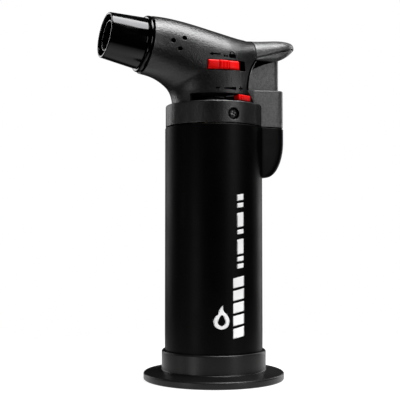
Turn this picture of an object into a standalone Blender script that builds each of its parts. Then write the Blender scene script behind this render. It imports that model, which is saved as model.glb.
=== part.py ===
"""Hand-held butane torch for jewellery work, on its round foot.

The frame: the origin is the centre of the foot's underside, +Z is up along the tank, and the
nozzle points to -X, so the trigger is at +X and the lock slider is on the -Y side.
All lengths are in millimetres, and the helpers turn them into metres.
"""

import math

import bmesh
import bpy
from mathutils import Matrix, Vector

MM = 0.001
GAP = 0.3  # between pieces that touch
WALL = 1.6  # moulded head shells
THIN_WALL = 1.3  # body shell and rear cover

# Foot
FOOT_RADIUS = 28.7
FOOT_RIM = 2.2
FLOOR_TOP = 3.0
SOCKET_RADIUS = 21.3
SOCKET_TOP = 11.8

# Body shell, with the bulge behind that holds the igniter
BODY_RADIUS = 20.0
BODY_BOTTOM = FLOOR_TOP + GAP
BODY_TOP = 102.4
BULGE_REAR = 27.75
BULGE_HALF = 12.0
BULGE_FOOT = 82.0
BULGE_FULL = 97.0
BULGE_CORNER = 4.0

# Collar and head
COLLAR_RADIUS = 19.8
COLLAR_BOTTOM = BODY_TOP + GAP
NECK_Z = 111.5
NECK_RADIUS = 17.2
SEAM_ANGLE = 53.1  # from -Y towards +X
PIVOT_X = -33.6  # the head's sections fan out from a line at (PIVOT_X, NECK_Z)
FRONT_ANGLE = 81.6
FRONT_RADIUS = 11.9
FRONT_DISTANCE = 23.65
TOP_REAR_Z = 139.5
EDGE_X = 13.9  # rear edge of the head, above the arc
EDGE_FOOT_X = 7.3
EDGE_FOOT_Z = 117.0
EDGE_TOP_Z = 131.0
SLOT_LOW, SLOT_HIGH = 111.2, 114.8

# Nozzle: distances run along its axis from the mouth, towards the rear
MOUTH = (-47.1, 0.0, 137.4)
NOZZLE_TILT = 8.4
MOUTH_RADIUS = 9.15
GUARD_REAR_RADIUS = 10.4
RING_RADIUS = 11.5
RING_FRONT, RING_REAR = 15.1, 16.9
TUBE_RADIUS = 6.25
ELECTRODE_DROP = -4.2  # from the nozzle's axis down to the electrode

# Trigger and rear cover
SKIRT_FRONT, SKIRT_REAR, SKIRT_HALF = 9.0, 26.3, 10.0
SKIRT_BOTTOM, SKIRT_TOP = 108.0, 132.0
SKIRT_WALL = 1.4
COVER_REAR = 27.7
COVER_HALF = 11.8
COVER_TOP = 118.2
COVER_SLOPE = 0.05  # rise of the cover's top towards the rear
PAD_FRONT, PAD_TIP, PAD_HALF = EDGE_X + GAP, 36.2, 11.6
IGNITER_X = 19.0

# Gas lever, between the trigger and the valve stem
PIN_X, PIN_Z = 5.2, 117.3

# Lock slider
SLIDER_FRONT, SLIDER_REAR = -9.0, 4.2
SLIDER_LOW, SLIDER_HIGH = 124.3, 127.9
SLIDER_TRAVEL = 2.8

AIR_HOLES = ((-22.7, 134.8), (-18.0, 136.0), (-20.0, 131.6))
AIR_HOLE_RADIUS = 0.95
SCREW_Z = 106.3


def clear_scene():
    for obj in list(bpy.data.objects):
        bpy.data.objects.remove(obj, do_unlink=True)


clear_scene()
PARTS = bpy.data.collections.new("butane_torch")
CUTTERS = bpy.data.collections.new("cutters")
bpy.context.scene.collection.children.link(PARTS)
bpy.context.scene.collection.children.link(CUTTERS)


# ---------------------------------------------------------------- materials

def make_material(name, colour, roughness, metallic=0.0):
    material = bpy.data.materials.new(name)
    material.use_nodes = True
    shader = material.node_tree.nodes["Principled BSDF"]
    shader.inputs["Base Color"].default_value = (*colour, 1.0)
    shader.inputs["Roughness"].default_value = roughness
    shader.inputs["Metallic"].default_value = metallic
    material.diffuse_color = (*colour, 1.0)
    return material


SOFT_BLACK = make_material("soft_black", (0.012, 0.012, 0.013), 0.6)
CHARCOAL = make_material("charcoal_plastic", (0.035, 0.035, 0.036), 0.42)
FOOT_GREY = make_material("foot_grey", (0.03, 0.03, 0.031), 0.5)
RED = make_material("red_plastic", (0.85, 0.01, 0.01), 0.3)
BLACK_CHROME = make_material("black_chrome", (0.05, 0.05, 0.055), 0.12, 1.0)
STEEL = make_material("steel", (0.55, 0.55, 0.56), 0.3, 1.0)
BRASS = make_material("brass", (0.72, 0.52, 0.22), 0.3, 1.0)
NATURAL_PLASTIC = make_material("natural_plastic", (0.6, 0.58, 0.52), 0.5)
RUBBER = make_material("rubber", (0.02, 0.02, 0.02), 0.8)
CERAMIC = make_material("ceramic", (0.85, 0.83, 0.78), 0.35)


# ------------------------------------------------------------------ helpers

def smooth_step(share):
    share = min(max(share, 0.0), 1.0)
    return share * share * (3.0 - 2.0 * share)


def mix(low, high, share):
    return low + (high - low) * share


def add_object(name, data, material=None, origin=(0.0, 0.0, 0.0), rotation=None):
    """Link an object to the parts, or to the cutters when it has no material."""
    obj = bpy.data.objects.new(name, data)
    obj.location = Vector(origin) * MM
    if rotation is not None:
        obj.rotation_euler = rotation
    if material is None:
        CUTTERS.objects.link(obj)
        obj.hide_render = True
        obj.display_type = "WIRE"
    else:
        PARTS.objects.link(obj)
        data.materials.append(material)
    return obj


def mesh_object(name, work, material=None, origin=(0.0, 0.0, 0.0), smooth=True):
    """Turn a bmesh in millimetres about the origin point into an object."""
    bmesh.ops.transform(work, matrix=Matrix.Translation(-Vector(origin)), verts=work.verts)
    bmesh.ops.scale(work, vec=(MM, MM, MM), verts=work.verts)
    mesh = bpy.data.meshes.new(name)
    work.to_mesh(mesh)
    work.free()
    if smooth:
        mesh.shade_smooth()
        mesh.set_sharp_from_angle(angle=math.radians(35.0))
    return add_object(name, mesh, material, origin)


def box(name, low, high, material=None, origin=(0.0, 0.0, 0.0)):
    work = bmesh.new()
    bmesh.ops.create_cube(work, size=1.0)
    size = Vector(high) - Vector(low)
    middle = (Vector(high) + Vector(low)) / 2.0
    bmesh.ops.scale(work, vec=size, verts=work.verts)
    bmesh.ops.translate(work, vec=middle, verts=work.verts)
    return mesh_object(name, work, material, origin, smooth=False)


def rod(name, start, end, radius, material=None, sides=24, origin=(0.0, 0.0, 0.0)):
    """A cylinder from one point to another."""
    work = bmesh.new()
    along = Vector(end) - Vector(start)
    bmesh.ops.create_cone(
        work, cap_ends=True, segments=sides, radius1=radius, radius2=radius, depth=along.length
    )
    turn = Vector((0.0, 0.0, 1.0)).rotation_difference(along).to_matrix().to_4x4()
    middle = (Vector(start) + Vector(end)) / 2.0
    bmesh.ops.transform(work, matrix=Matrix.Translation(middle) @ turn, verts=work.verts)
    return mesh_object(name, work, material, origin)


def loft(name, rings, material=None, origin=(0.0, 0.0, 0.0)):
    """Closed solid through rings of equally many points, with both ends capped."""
    work = bmesh.new()
    rows = [[work.verts.new(point) for point in ring] for ring in rings]
    count = len(rows[0])
    for low, high in zip(rows, rows[1:]):
        for i in range(count):
            j = (i + 1) % count
            work.faces.new((low[i], low[j], high[j], high[i]))
    work.faces.new(rows[0])
    work.faces.new(rows[-1])
    bmesh.ops.recalc_face_normals(work, faces=work.faces)
    return mesh_object(name, work, material, origin)


def turned(name, profile, material=None, steps=40, origin=(0.0, 0.0, 0.0), rotation=None):
    """Solid of revolution about the origin's local Z, from points (radius, height).

    A profile that starts and ends on the axis is solid, and any other is closed into a ring.
    """
    points = list(profile)
    ring = points[0][0] > 0.0 or points[-1][0] > 0.0
    loop = zip(points, points[1:] + points[:1])
    area = sum(r1 * z2 - r2 * z1 for (r1, z1), (r2, z2) in loop)
    if area > 0.0:
        points.reverse()
    count = len(points)
    edges = [(i, i + 1) for i in range(count - 1)]
    if ring:
        edges.append((count - 1, 0))
    mesh = bpy.data.meshes.new(name)
    mesh.from_pydata([(r * MM, 0.0, z * MM) for r, z in points], edges, [])
    obj = add_object(name, mesh, material, origin, rotation)
    screw = obj.modifiers.new("turn", "SCREW")
    screw.angle = math.tau
    screw.steps = steps
    screw.render_steps = steps
    screw.use_merge_vertices = True
    screw.merge_threshold = 0.00001
    return obj


def wire(name, points, radius, material, resolution=2):
    """A round wire or hose along a polyline."""
    curve = bpy.data.curves.new(name, "CURVE")
    curve.dimensions = "3D"
    curve.bevel_depth = radius * MM
    curve.bevel_resolution = resolution
    curve.use_fill_caps = True
    spline = curve.splines.new("POLY")
    spline.points.add(len(points) - 1)
    for node, point in zip(spline.points, points):
        node.co = (*(Vector(point) * MM), 1.0)
    return add_object(name, curve, material)


def smooth_path(points, steps):
    """Points along a Catmull-Rom curve through the given ones."""
    ends = [points[0]] + list(points) + [points[-1]]
    ends = [Vector(point) for point in ends]
    path = []
    for i in range(1, len(ends) - 2):
        a, b, c, d = ends[i - 1 : i + 3]
        for k in range(steps):
            t = k / steps
            path.append(
                0.5 * (2 * b + (c - a) * t + (2 * a - 5 * b + 4 * c - d) * t * t
                       + (3 * b - a - 3 * c + d) * t ** 3)
            )
    path.append(ends[-2])
    return path


def coil_spring(name, centre_x, radius, wire_radius, low, high, turns, material):
    """A compression spring standing on Z, with its ends inside low and high."""
    per_turn = 8
    count = turns * per_turn
    first, last = low + wire_radius, high - wire_radius
    points = []
    for i in range(count + 1):
        angle = math.tau * i / per_turn
        height = mix(first, last, i / count)
        points.append(
            (centre_x + radius * math.cos(angle), radius * math.sin(angle), height)
        )
    return wire(name, points, wire_radius, material)


def combine(target, other, operation, solver="EXACT"):
    modifier = target.modifiers.new(other.name, "BOOLEAN")
    modifier.object = other
    modifier.operation = operation
    modifier.solver = solver


def cut(target, *cutters):
    for cutter in cutters:
        combine(target, cutter, "DIFFERENCE")


def join(target, *others):
    for other in others:
        combine(target, other, "UNION")


def nozzle_axis(distance, offset=0.0):
    """The point on the nozzle's axis, this far behind the mouth, moved up across the axis."""
    tilt = math.radians(NOZZLE_TILT)
    x = MOUTH[0] + distance * math.cos(tilt) + offset * math.sin(tilt)
    z = MOUTH[2] - distance * math.sin(tilt) + offset * math.cos(tilt)
    return (x, 0.0, z)


def on_nozzle(name, profile, material=None, steps=40):
    """A turned piece on the nozzle's axis."""
    rotation = (0.0, math.radians(90.0 + NOZZLE_TILT), 0.0)
    return turned(name, profile, material, steps, MOUTH, rotation)


# --------------------------------------------------------- shapes that repeat

def rounded_reach(angle, half, rear, corner):
    """Distance from the axis to a rounded rectangle open to the front.

    The angle runs from -Y towards +X, and the rectangle reaches X = rear and |Y| = half.
    """
    across, back = abs(math.cos(angle)), math.sin(angle)
    if back <= 0.0:
        return 0.0
    side = half / across if across > 1e-6 else 1e9
    reach = min(side, rear / back)
    centre_y, centre_x = half - corner, rear - corner
    if reach * across > centre_y and reach * back > centre_x:
        middle = centre_y * across + centre_x * back
        spread = middle * middle - centre_y ** 2 - centre_x ** 2 + corner ** 2
        reach = middle + math.sqrt(max(spread, 0.0))
    return reach


def polar_ring(radius, half, rear, corner, height, sides):
    """Plan outline of a cylinder joined to a rounded rectangle behind it."""
    ring = []
    for i in range(sides):
        angle = math.tau * i / sides
        reach = radius
        if rear > radius:
            reach = max(radius, rounded_reach(angle, half, rear, corner))
        ring.append((reach * math.sin(angle), -reach * math.cos(angle), height))
    return ring


def bulge_rear(height):
    """How far back the body's bulge reaches at this height."""
    share = min(max((height - BULGE_FOOT) / (BULGE_FULL - BULGE_FOOT), 0.0), 1.0)
    return mix(BODY_RADIUS - 0.6, BULGE_REAR, math.sqrt(1.0 - (1.0 - share) ** 2))


def underside_distance(angle):
    return mix(PIVOT_X * -1.0 - NECK_RADIUS, FRONT_DISTANCE - FRONT_RADIUS,
               smooth_step(angle / FRONT_ANGLE))


def top_height(x):
    return TOP_REAR_Z + 6.9 * (1.0 - smooth_step((x + 28.0) / 46.0))


def head_ray(angle, distance):
    turn = math.radians(angle)
    return PIVOT_X + distance * math.cos(turn), NECK_Z + distance * math.sin(turn)


def solve(function, low, high):
    """Where a rising function crosses zero between low and high."""
    for _ in range(40):
        middle = (low + high) / 2.0
        if function(middle) < 0.0:
            low = middle
        else:
            high = middle
    return (low + high) / 2.0


def outer_distance(angle):
    """Distance from the pivot to the head's top, or to the outline that it would have behind."""
    neck = -PIVOT_X + NECK_RADIUS
    behind = mix(neck, neck + 13.0, smooth_step(angle / 22.0))
    if angle < 12.0:
        return behind

    def above(distance):
        x, z = head_ray(angle, distance)
        return z - top_height(x)

    top = solve(above, 5.0, 140.0)
    soft = 2.0
    return -soft * math.log(math.exp(-top / soft) + math.exp(-behind / soft))


def rear_edge(height):
    """X of the head's rear edge at this height: a slant, an arc, then upright."""
    if height < EDGE_FOOT_Z:
        return EDGE_FOOT_X + 4.2 * (EDGE_FOOT_Z - height) / (EDGE_FOOT_Z - NECK_Z)
    share = min((height - EDGE_FOOT_Z) / (EDGE_TOP_Z - EDGE_FOOT_Z), 1.0)
    return EDGE_FOOT_X + (EDGE_X - EDGE_FOOT_X) * share ** 1.9


def rear_taper(x, z):
    """The head narrows towards the thumb pad, above its neck."""
    return 1.0 - 0.16 * smooth_step(x / 14.0) * smooth_step((z - 116.0) / 12.0)


def head_section(angle, columns):
    """Points of one section, from the underside's middle round one side: (x, half width, z)."""
    near, far = underside_distance(angle), outer_distance(angle)
    middle, reach = (near + far) / 2.0, (far - near) / 2.0
    swell = math.sin(math.pi * min(angle / FRONT_ANGLE, 1.0))
    width = mix(NECK_RADIUS, FRONT_RADIUS, smooth_step(angle / FRONT_ANGLE))
    power = mix(1.0, 0.9, swell)

    def at(turn):
        c, s = math.cos(turn), math.sin(turn)
        distance = middle - reach * math.copysign(abs(c) ** power, c)
        x, z = head_ray(angle, distance)
        return x, width * abs(s) ** power * rear_taper(x, z), z

    def past_edge(turn):
        x, _, z = at(turn)
        return x - rear_edge(z)

    last = solve(past_edge, 0.0, math.pi)
    return [at(last * i / columns) for i in range(columns + 1)]


def head_width(x, z):
    """Half width of the head's outer surface at a point of its side view."""
    angle = math.degrees(math.atan2(z - NECK_Z, x - PIVOT_X))
    distance = math.hypot(z - NECK_Z, x - PIVOT_X)
    near, far = underside_distance(angle), outer_distance(angle)
    share = (2.0 * distance - near - far) / (far - near)
    swell = math.sin(math.pi * min(angle / FRONT_ANGLE, 1.0))
    width = mix(NECK_RADIUS, FRONT_RADIUS, smooth_step(angle / FRONT_ANGLE))
    power = mix(1.0, 0.9, swell)
    return width * rear_taper(x, z) * (1.0 - abs(share) ** (2.0 / power)) ** (power / 2.0)


def head_skin(name, material):
    """The open surface of both head shells and their collar, thickened inwards."""
    columns = 10
    angles = (0.0, 3.5, 7.5, 13.0, 19.0, 25.0, 29.5, 37.0, 48.0, 60.0, 71.0, FRONT_ANGLE)
    collar = (
        (COLLAR_RADIUS, COLLAR_BOTTOM, 90.0 + SEAM_ANGLE),
        (COLLAR_RADIUS, NECK_Z - 0.5, 90.0 + SEAM_ANGLE - 1.0),
        (COLLAR_RADIUS - 0.5, NECK_Z, 90.0 + SEAM_ANGLE - 3.0),
    )
    rows = []
    for radius, height, reach in collar:
        row = []
        for i in range(columns + 1):
            turn = math.radians(reach * i / columns)
            row.append((-radius * math.cos(turn), radius * math.sin(turn), height))
        rows.append(row)
    rows += [head_section(angle, columns) for angle in angles]
    work = bmesh.new()
    grid = []
    for row in rows:
        left = [work.verts.new((x, -y, z)) for x, y, z in reversed(row)]
        right = [work.verts.new((x, y, z)) for x, y, z in row[1:]]
        grid.append(left + right)
    for low, high in zip(grid, grid[1:]):
        for i in range(len(low) - 1):
            work.faces.new((low[i], low[i + 1], high[i + 1], high[i]))
    bmesh.ops.remove_doubles(work, verts=work.verts, dist=0.01)
    bmesh.ops.dissolve_degenerate(work, edges=work.edges, dist=0.001)
    work.normal_update()
    inside = Vector((0.0, 0.0, 122.0))
    outwards = sum(f.normal.dot(f.calc_center_median() - inside) for f in work.faces)
    if outwards < 0.0:
        bmesh.ops.reverse_faces(work, faces=work.faces)
    obj = mesh_object(name, work, material)
    shell = obj.modifiers.new("wall", "SOLIDIFY")
    shell.thickness = WALL * MM
    shell.offset = -1.0
    shell.use_even_offset = True
    return obj


def ring_sector(name, inner, outer, low, high, start, end, material=None):
    """A block bent round the Z axis, between two angles from -Y towards +X."""
    steps = max(2, int(abs(end - start) / 6.0))
    rings = []
    for i in range(steps + 1):
        turn = math.radians(mix(start, end, i / steps))
        s, c = math.sin(turn), -math.cos(turn)
        corners = ((inner, low), (outer, low), (outer, high), (inner, high))
        rings.append([(r * s, r * c, z) for r, z in corners])
    return loft(name, rings, material)


def prism_y(name, outline, low, high, material=None):
    """An outline of (x, z) points, from one Y to another."""
    return loft(name, [[(x, y, z) for x, z in outline] for y in (low, high)], material)


# ------------------------------------------------------------- foot and body

def build_stand():
    outer = [
        (0.0, 0.0), (FOOT_RADIUS - 0.4, 0.0), (FOOT_RADIUS, 0.4), (FOOT_RADIUS, FOOT_RIM),
        (FOOT_RADIUS - 0.6, FOOT_RIM + 0.6), (SOCKET_RADIUS + 1.2, FOOT_RIM + 2.0),
        (SOCKET_RADIUS, FOOT_RIM + 3.2), (SOCKET_RADIUS, SOCKET_TOP - 0.6),
        (SOCKET_RADIUS - 0.5, SOCKET_TOP), (BODY_RADIUS + GAP, SOCKET_TOP),
        (BODY_RADIUS + GAP, FLOOR_TOP), (0.0, FLOOR_TOP),
    ]
    turned("stand", outer, FOOT_GREY, steps=40)


def build_body_shell():
    sides = 40
    rings = []
    for height, radius in ((BODY_BOTTOM, 8.0), (BODY_BOTTOM, BODY_RADIUS - 0.6),
                           (BODY_BOTTOM + 0.6, BODY_RADIUS)):
        rings.append(polar_ring(radius, 0.0, 0.0, 0.0, height, sides))
    heights = [BULGE_FOOT + (BULGE_FULL - BULGE_FOOT) * (i / 6.0) ** 1.7 for i in range(7)]
    for height in heights + [BODY_TOP - 0.5, BODY_TOP]:
        inset = 0.3 if height == BODY_TOP else 0.0
        rings.append(polar_ring(BODY_RADIUS - inset, BULGE_HALF - inset,
                                bulge_rear(height) - inset, BULGE_CORNER, height, sides))
    work = bmesh.new()
    rows = [[work.verts.new(point) for point in ring] for ring in rings]
    for low, high in zip(rows, rows[1:]):
        for i in range(sides):
            j = (i + 1) % sides
            work.faces.new((low[i], low[j], high[j], high[i]))
    obj = mesh_object("body_shell", work, SOFT_BLACK)
    shell = obj.modifiers.new("wall", "SOLIDIFY")
    shell.thickness = THIN_WALL * MM
    shell.offset = -1.0
    shell.use_even_offset = True


def build_tank():
    radius = BODY_RADIUS - THIN_WALL - GAP - 0.1
    low, high, wall, boss_top = BODY_BOTTOM + THIN_WALL + 0.5, 84.0, 1.5, 16.0
    turned("fuel_tank", [
        (3.4, boss_top), (5.6, boss_top), (5.6, low + wall), (radius - wall, low + wall),
        (radius - wall, high), (radius, high), (radius, low), (4.6, low), (4.6, low + 1.2),
        (3.4, low + 1.2),
    ], NATURAL_PLASTIC, steps=28)
    lid = turned("tank_lid", [
        (4.3, 80.6), (radius - wall - GAP, 80.6), (radius - wall - GAP, high + GAP),
        (radius, high + GAP), (radius, 87.0), (5.7, 87.0), (5.7, 86.0), (4.3, 86.0),
    ], NATURAL_PLASTIC, steps=28)
    for side in (-1.0, 1.0):
        ends = sorted((side * 12.4, side * 15.8))
        post = box("lid_post", (-3.0, ends[0], 86.5), (3.0, ends[1], SCREW_Z + 3.2))
        join(lid, post)
    join(lid, box("igniter_shelf", (13.0, -4.5, 86.5), (17.5, 4.5, 88.7)))
    cut(lid, rod("post_holes", (0.0, -20.0, SCREW_Z), (0.0, 20.0, SCREW_Z), 1.6, sides=16))


def build_fill_valve():
    turned("fill_valve_body", [
        (1.5, 4.0), (4.3, 4.0), (4.3, 4.8), (3.1, 4.8), (3.1, 15.7), (1.2 + GAP, 15.7),
        (1.2 + GAP, 15.0), (2.3, 15.0), (2.3, 6.0), (1.5, 6.0),
    ], BRASS, steps=20)
    turned("fill_valve_stem", [
        (0.0, 3.5), (1.1, 3.5), (1.1, 6.4), (1.95, 6.4), (1.95, 7.6), (1.1, 7.6),
        (1.1, 12.5), (0.0, 12.5),
    ], BRASS, steps=20)
    coil_spring("fill_valve_spring", 0.0, 1.66, 0.16, 7.75, 14.8, 5, STEEL)
    o_ring("fill_valve_seal", 3.85, 0.42, 5.72)


def o_ring(name, radius, thickness, height):
    points = []
    for i in range(8):
        turn = math.tau * i / 8.0
        points.append((radius + thickness * math.cos(turn), height + thickness * math.sin(turn)))
    turned(name, points, RUBBER, steps=16)


# --------------------------------------------------------- valve and flame lever

def build_outlet_valve():
    turned("outlet_valve_body", [
        (0.8, 90.0), (0.8, 84.0), (3.0, 84.0), (3.0, 80.0), (4.0, 80.0), (4.0, 87.3),
        (6.0, 87.3), (6.0, 88.5), (4.0, 88.5), (4.0, 104.0), (2.6, 104.0), (2.6, 90.0),
    ], BRASS, steps=20)
    turned("gas_filter", [(0.0, 80.3), (2.7, 80.3), (2.7, 83.7), (0.0, 83.7)], CERAMIC, steps=20)
    o_ring("valve_o_ring", 4.85, 0.42, 86.62)
    turned("valve_stem", [
        (0.0, 91.0), (2.3, 91.0), (2.3, 93.3), (1.0, 93.3), (1.0, 116.7), (2.2, 116.7),
        (2.2, 118.2), (0.0, 118.2),
    ], BRASS, steps=20)
    coil_spring("valve_spring", 0.0, 1.7, 0.2, 93.5, 103.9, 6, STEEL)
    teeth = 18
    outline = []
    for i in range(teeth * 2):
        turn = math.tau * i / (teeth * 2)
        reach = 4.3 if i % 2 else 3.85
        outline.append((reach * math.cos(turn), reach * math.sin(turn)))
    nut = loft("regulator_nut", [[(x, y, z) for x, y in outline] for z in (104.3, 114.6)], BRASS)
    cut(nut, rod("nut_bore", (0.0, 0.0, 104.0), (0.0, 0.0, 115.0), 1.35, sides=20))


def build_flame_lever():
    low, high = 111.9, 114.4
    lever = turned("flame_lever", [(4.65, low), (6.7, low), (6.7, high), (4.65, high)], RED, 36)
    arm = ring_sector("flame_arm", 6.2, 15.0, low + 0.2, high - 0.2, 13.0, 30.0)
    tip = ring_sector("flame_tip", 14.6, 17.9, low, high, 10.5, 33.2)
    join(lever, arm, tip)


def build_gas_lever():
    """A rocker on a cross pin: a fork under the stem's head, and a tail under the trigger."""
    pivot = (PIN_X, 0.0, PIN_Z)
    lever = rod("gas_lever", (PIN_X, -4.2, PIN_Z), (PIN_X, 4.2, PIN_Z), 2.4, STEEL, 24, pivot)
    fork = box("lever_fork", (-0.9, -3.0, 115.0), (PIN_X, 3.0, 116.4))
    tail = box("lever_tail", (PIN_X, -1.9, 116.2), (13.4, 1.9, 117.6))
    join(lever, fork, tail)
    cut(lever,
        box("fork_slot", (-2.0, -1.35, 113.0), (1.35, 1.35, 119.0)),
        rod("pin_hole", (PIN_X, -6.0, PIN_Z), (PIN_X, 6.0, PIN_Z), 1.3, sides=20))
    rod("gas_lever_pin", (PIN_X, -8.0, PIN_Z), (PIN_X, 8.0, PIN_Z), 1.0, STEEL, 16, pivot)


# ---------------------------------------------------------------- the nozzle

def build_nozzle():
    cone_end = RING_FRONT - 0.3
    on_nozzle("nozzle_guard", [
        (MOUTH_RADIUS - 0.9, 0.3), (MOUTH_RADIUS - 0.5, 0.0), (MOUTH_RADIUS - 0.1, 0.1),
        (MOUTH_RADIUS, 0.5), (GUARD_REAR_RADIUS, cone_end), (9.7, cone_end), (9.7, 20.5),
        (8.9, 20.5), (8.9, cone_end - 1.0), (MOUTH_RADIUS - 0.9, 2.0),
    ], BLACK_CHROME, steps=32)
    middle = (RING_FRONT + RING_REAR) / 2.0
    on_nozzle("nozzle_ring", [
        (9.7 + GAP, RING_FRONT), (RING_RADIUS - 0.5, RING_FRONT), (RING_RADIUS, middle - 0.3),
        (RING_RADIUS, middle + 0.3), (RING_RADIUS - 0.5, RING_REAR), (9.7 + GAP, RING_REAR),
    ], BLACK_CHROME, steps=32)
    inner = TUBE_RADIUS - 0.5
    on_nozzle("burner_tube", [
        (inner, 1.0), (TUBE_RADIUS, 1.0), (TUBE_RADIUS, 17.2), (8.6, 17.2), (8.6, 18.6),
        (inner, 18.6),
    ], STEEL, steps=24)
    disc = on_nozzle("burner_disc", [(0.0, 9.5), (5.4, 9.5), (5.4, 11.0), (0.0, 11.0)], BRASS, 20)
    cut(disc,
        rod("jet_port", nozzle_axis(9.0), nozzle_axis(11.5), 1.4, sides=16),
        rod("lead_port", nozzle_axis(9.0, ELECTRODE_DROP), nozzle_axis(11.5, ELECTRODE_DROP),
            1.45, sides=16))
    tilt = math.radians(NOZZLE_TILT)
    across = Vector((math.sin(tilt), 0.0, math.cos(tilt)))
    for i in range(5):
        turn = math.radians(60.0 * i - 120.0)
        shift = (across * math.cos(turn) + Vector((0.0, math.sin(turn), 0.0))) * 3.5
        start = Vector(nozzle_axis(9.0)) + shift
        end = Vector(nozzle_axis(11.5)) + shift
        cut(disc, rod("flame_port", start, end, 0.75, sides=8))
    on_nozzle("mixing_tube", [(2.0, 11.3), (2.6, 11.3), (2.6, 27.0), (2.0, 27.0)], BRASS, 20)
    on_nozzle("jet_holder", [
        (0.5, 28.0), (1.4, 28.0), (1.4, 30.4), (3.2, 30.4), (3.2, 36.4), (1.8, 36.4),
        (1.8, 38.0), (0.5, 38.0),
    ], BRASS, steps=20)
    low = ELECTRODE_DROP
    insulator = rod("electrode_insulator", nozzle_axis(7.0, low),
                    nozzle_axis(24.0, low), 1.1, CERAMIC, 16)
    cut(insulator, rod("insulator_bore", nozzle_axis(6.0, low),
                       nozzle_axis(25.0, low), 0.62, sides=12))
    wire("electrode", [nozzle_axis(25.0, low), nozzle_axis(5.0, low), nozzle_axis(3.6, -3.8),
                       nozzle_axis(2.6, -2.9), nozzle_axis(2.0, -1.9)], 0.3, STEEL)
    start = nozzle_axis(38.5)
    hose = [start, (-5.0, 0.0, 130.3), (-2.0, 0.0, 128.4), (-0.4, 0.0, 124.5), (0.0, 0.0, 119.6)]
    wire("gas_hose", smooth_path(hose, 5), 1.2, RUBBER)
    lead_end = nozzle_axis(25.6, low)
    lead = [lead_end, (-17.5, 2.5, 128.0), (-12.0, 6.2, 126.0), (-7.0, 8.6, 122.0),
            (-3.0, 9.8, 117.0), (-0.5, 9.6, 111.5), (3.0, 8.8, 106.0), (7.5, 7.4, 101.0),
            (12.0, 6.3, 98.5), (16.0, 5.6, 96.5)]
    wire("ignition_lead", smooth_path(lead, 3), 0.6, RUBBER)


# ------------------------------------------------------- trigger and igniter

def build_igniter():
    body = box("piezo_body", (IGNITER_X - 4.4, -4.5, 89.0), (IGNITER_X + 4.4, 4.5, 110.0),
               NATURAL_PLASTIC)
    bevel = body.modifiers.new("edges", "BEVEL")
    bevel.width = 0.6 * MM
    bevel.segments = 2
    cut(body, rod("igniter_bore", (IGNITER_X, 0.0, 94.0), (IGNITER_X, 0.0, 112.0), 3.4))
    axis = (IGNITER_X, 0.0, 0.0)
    turned("piezo_plunger", [
        (0.0, 99.0), (1.8, 99.0), (1.8, 110.3), (3.0, 110.3), (3.0, 117.4), (2.4, 118.0),
        (0.0, 118.0),
    ], NATURAL_PLASTIC, 24, axis)
    coil_spring("piezo_spring", IGNITER_X, 2.5, 0.28, 94.2, 110.1, 6, STEEL)


def pad_terms(x):
    """Half width, top, crease and bottom of the thumb pad at X."""
    share = (x - PAD_FRONT) / (PAD_TIP - PAD_FRONT)
    bow = max((x - 24.5) / (PAD_TIP + 0.03 - 24.5), 0.0)
    half = PAD_HALF * math.sqrt(max(1.0 - bow * bow, 0.0))
    top = TOP_REAR_Z + 0.1 + smooth_step((x - 14.5) / 15.0) - 1.8 * share ** 12
    crease = 131.35 + 0.296 * (x - PAD_FRONT)
    bottom = min(130.1 + 0.102 * max(x - 22.0, 0.0) ** 1.65, crease - 0.2)
    return half, top, crease, bottom


def pad_section(x):
    """Cross-section of the thumb pad at X: a domed top, a crease, and a rolled lower edge."""
    half, top, crease, bottom = pad_terms(x)
    roll = min(1.0, half / 3.0)
    side = [(0.0, top)]
    for i in range(1, 6):
        turn = math.radians(90.0 * i / 6.0)
        side.append((half * math.sin(turn) ** 0.85,
                     mix(crease, top, math.cos(turn) ** 0.85)))
    side.append((half, crease + 0.1 * roll))
    side.append((half - 0.5 * roll, crease - 0.15 * roll))
    side.append((half + 0.1 * roll, mix(crease, bottom, 0.45)))
    side.append((half - 0.7 * roll, bottom + 0.15 * roll))
    side.append((half * 0.7, bottom))
    mirrored = [(-y, z) for y, z in reversed(side[1:])]
    return [(x, y, z) for y, z in side + [(0.0, bottom)] + mirrored]


def skirt_outline(front, rear, half, corner, height):
    """A rectangle with its two rear corners rounded."""
    ring = [(front, -half, height)]
    for side in (-1.0, 1.0):
        turns = range(0, 6) if side < 0.0 else range(5, -1, -1)
        for i in turns:
            turn = math.radians(90.0 * i / 5.0)
            ring.append((rear - corner + corner * math.sin(turn),
                         side * (half - corner + corner * math.cos(turn)), height))
    ring.append((front, half, height))
    return ring


def build_trigger():
    """The thumb pad and its channel-shaped skirt, which slides down inside the rear cover."""
    stations = [0.0, 0.12, 0.25, 0.4, 0.55, 0.68, 0.8, 0.89, 0.95, 0.985, 1.0]
    rings = [pad_section(mix(PAD_FRONT, PAD_TIP, s)) for s in stations]
    trigger = loft("trigger", rings, CHARCOAL)
    skirt = loft("skirt", [
        skirt_outline(SKIRT_FRONT, SKIRT_REAR, SKIRT_HALF, 3.5, z)
        for z in (SKIRT_BOTTOM, SKIRT_TOP)
    ])
    inner = [
        skirt_outline(SKIRT_FRONT - 4.0, SKIRT_REAR - SKIRT_WALL, SKIRT_HALF - SKIRT_WALL, 2.1, z)
        for z in (SKIRT_BOTTOM - 1.0, SKIRT_TOP - SKIRT_WALL)
    ]
    join(trigger, skirt)
    cut(trigger, loft("skirt_hollow", inner))
    join(trigger,
         rod("igniter_post", (IGNITER_X, 0.0, 118.3), (IGNITER_X, 0.0, 131.5), 2.6),
         box("lever_foot", (11.5, -9.0, 121.2), (13.2, 9.0, 131.2)))


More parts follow.
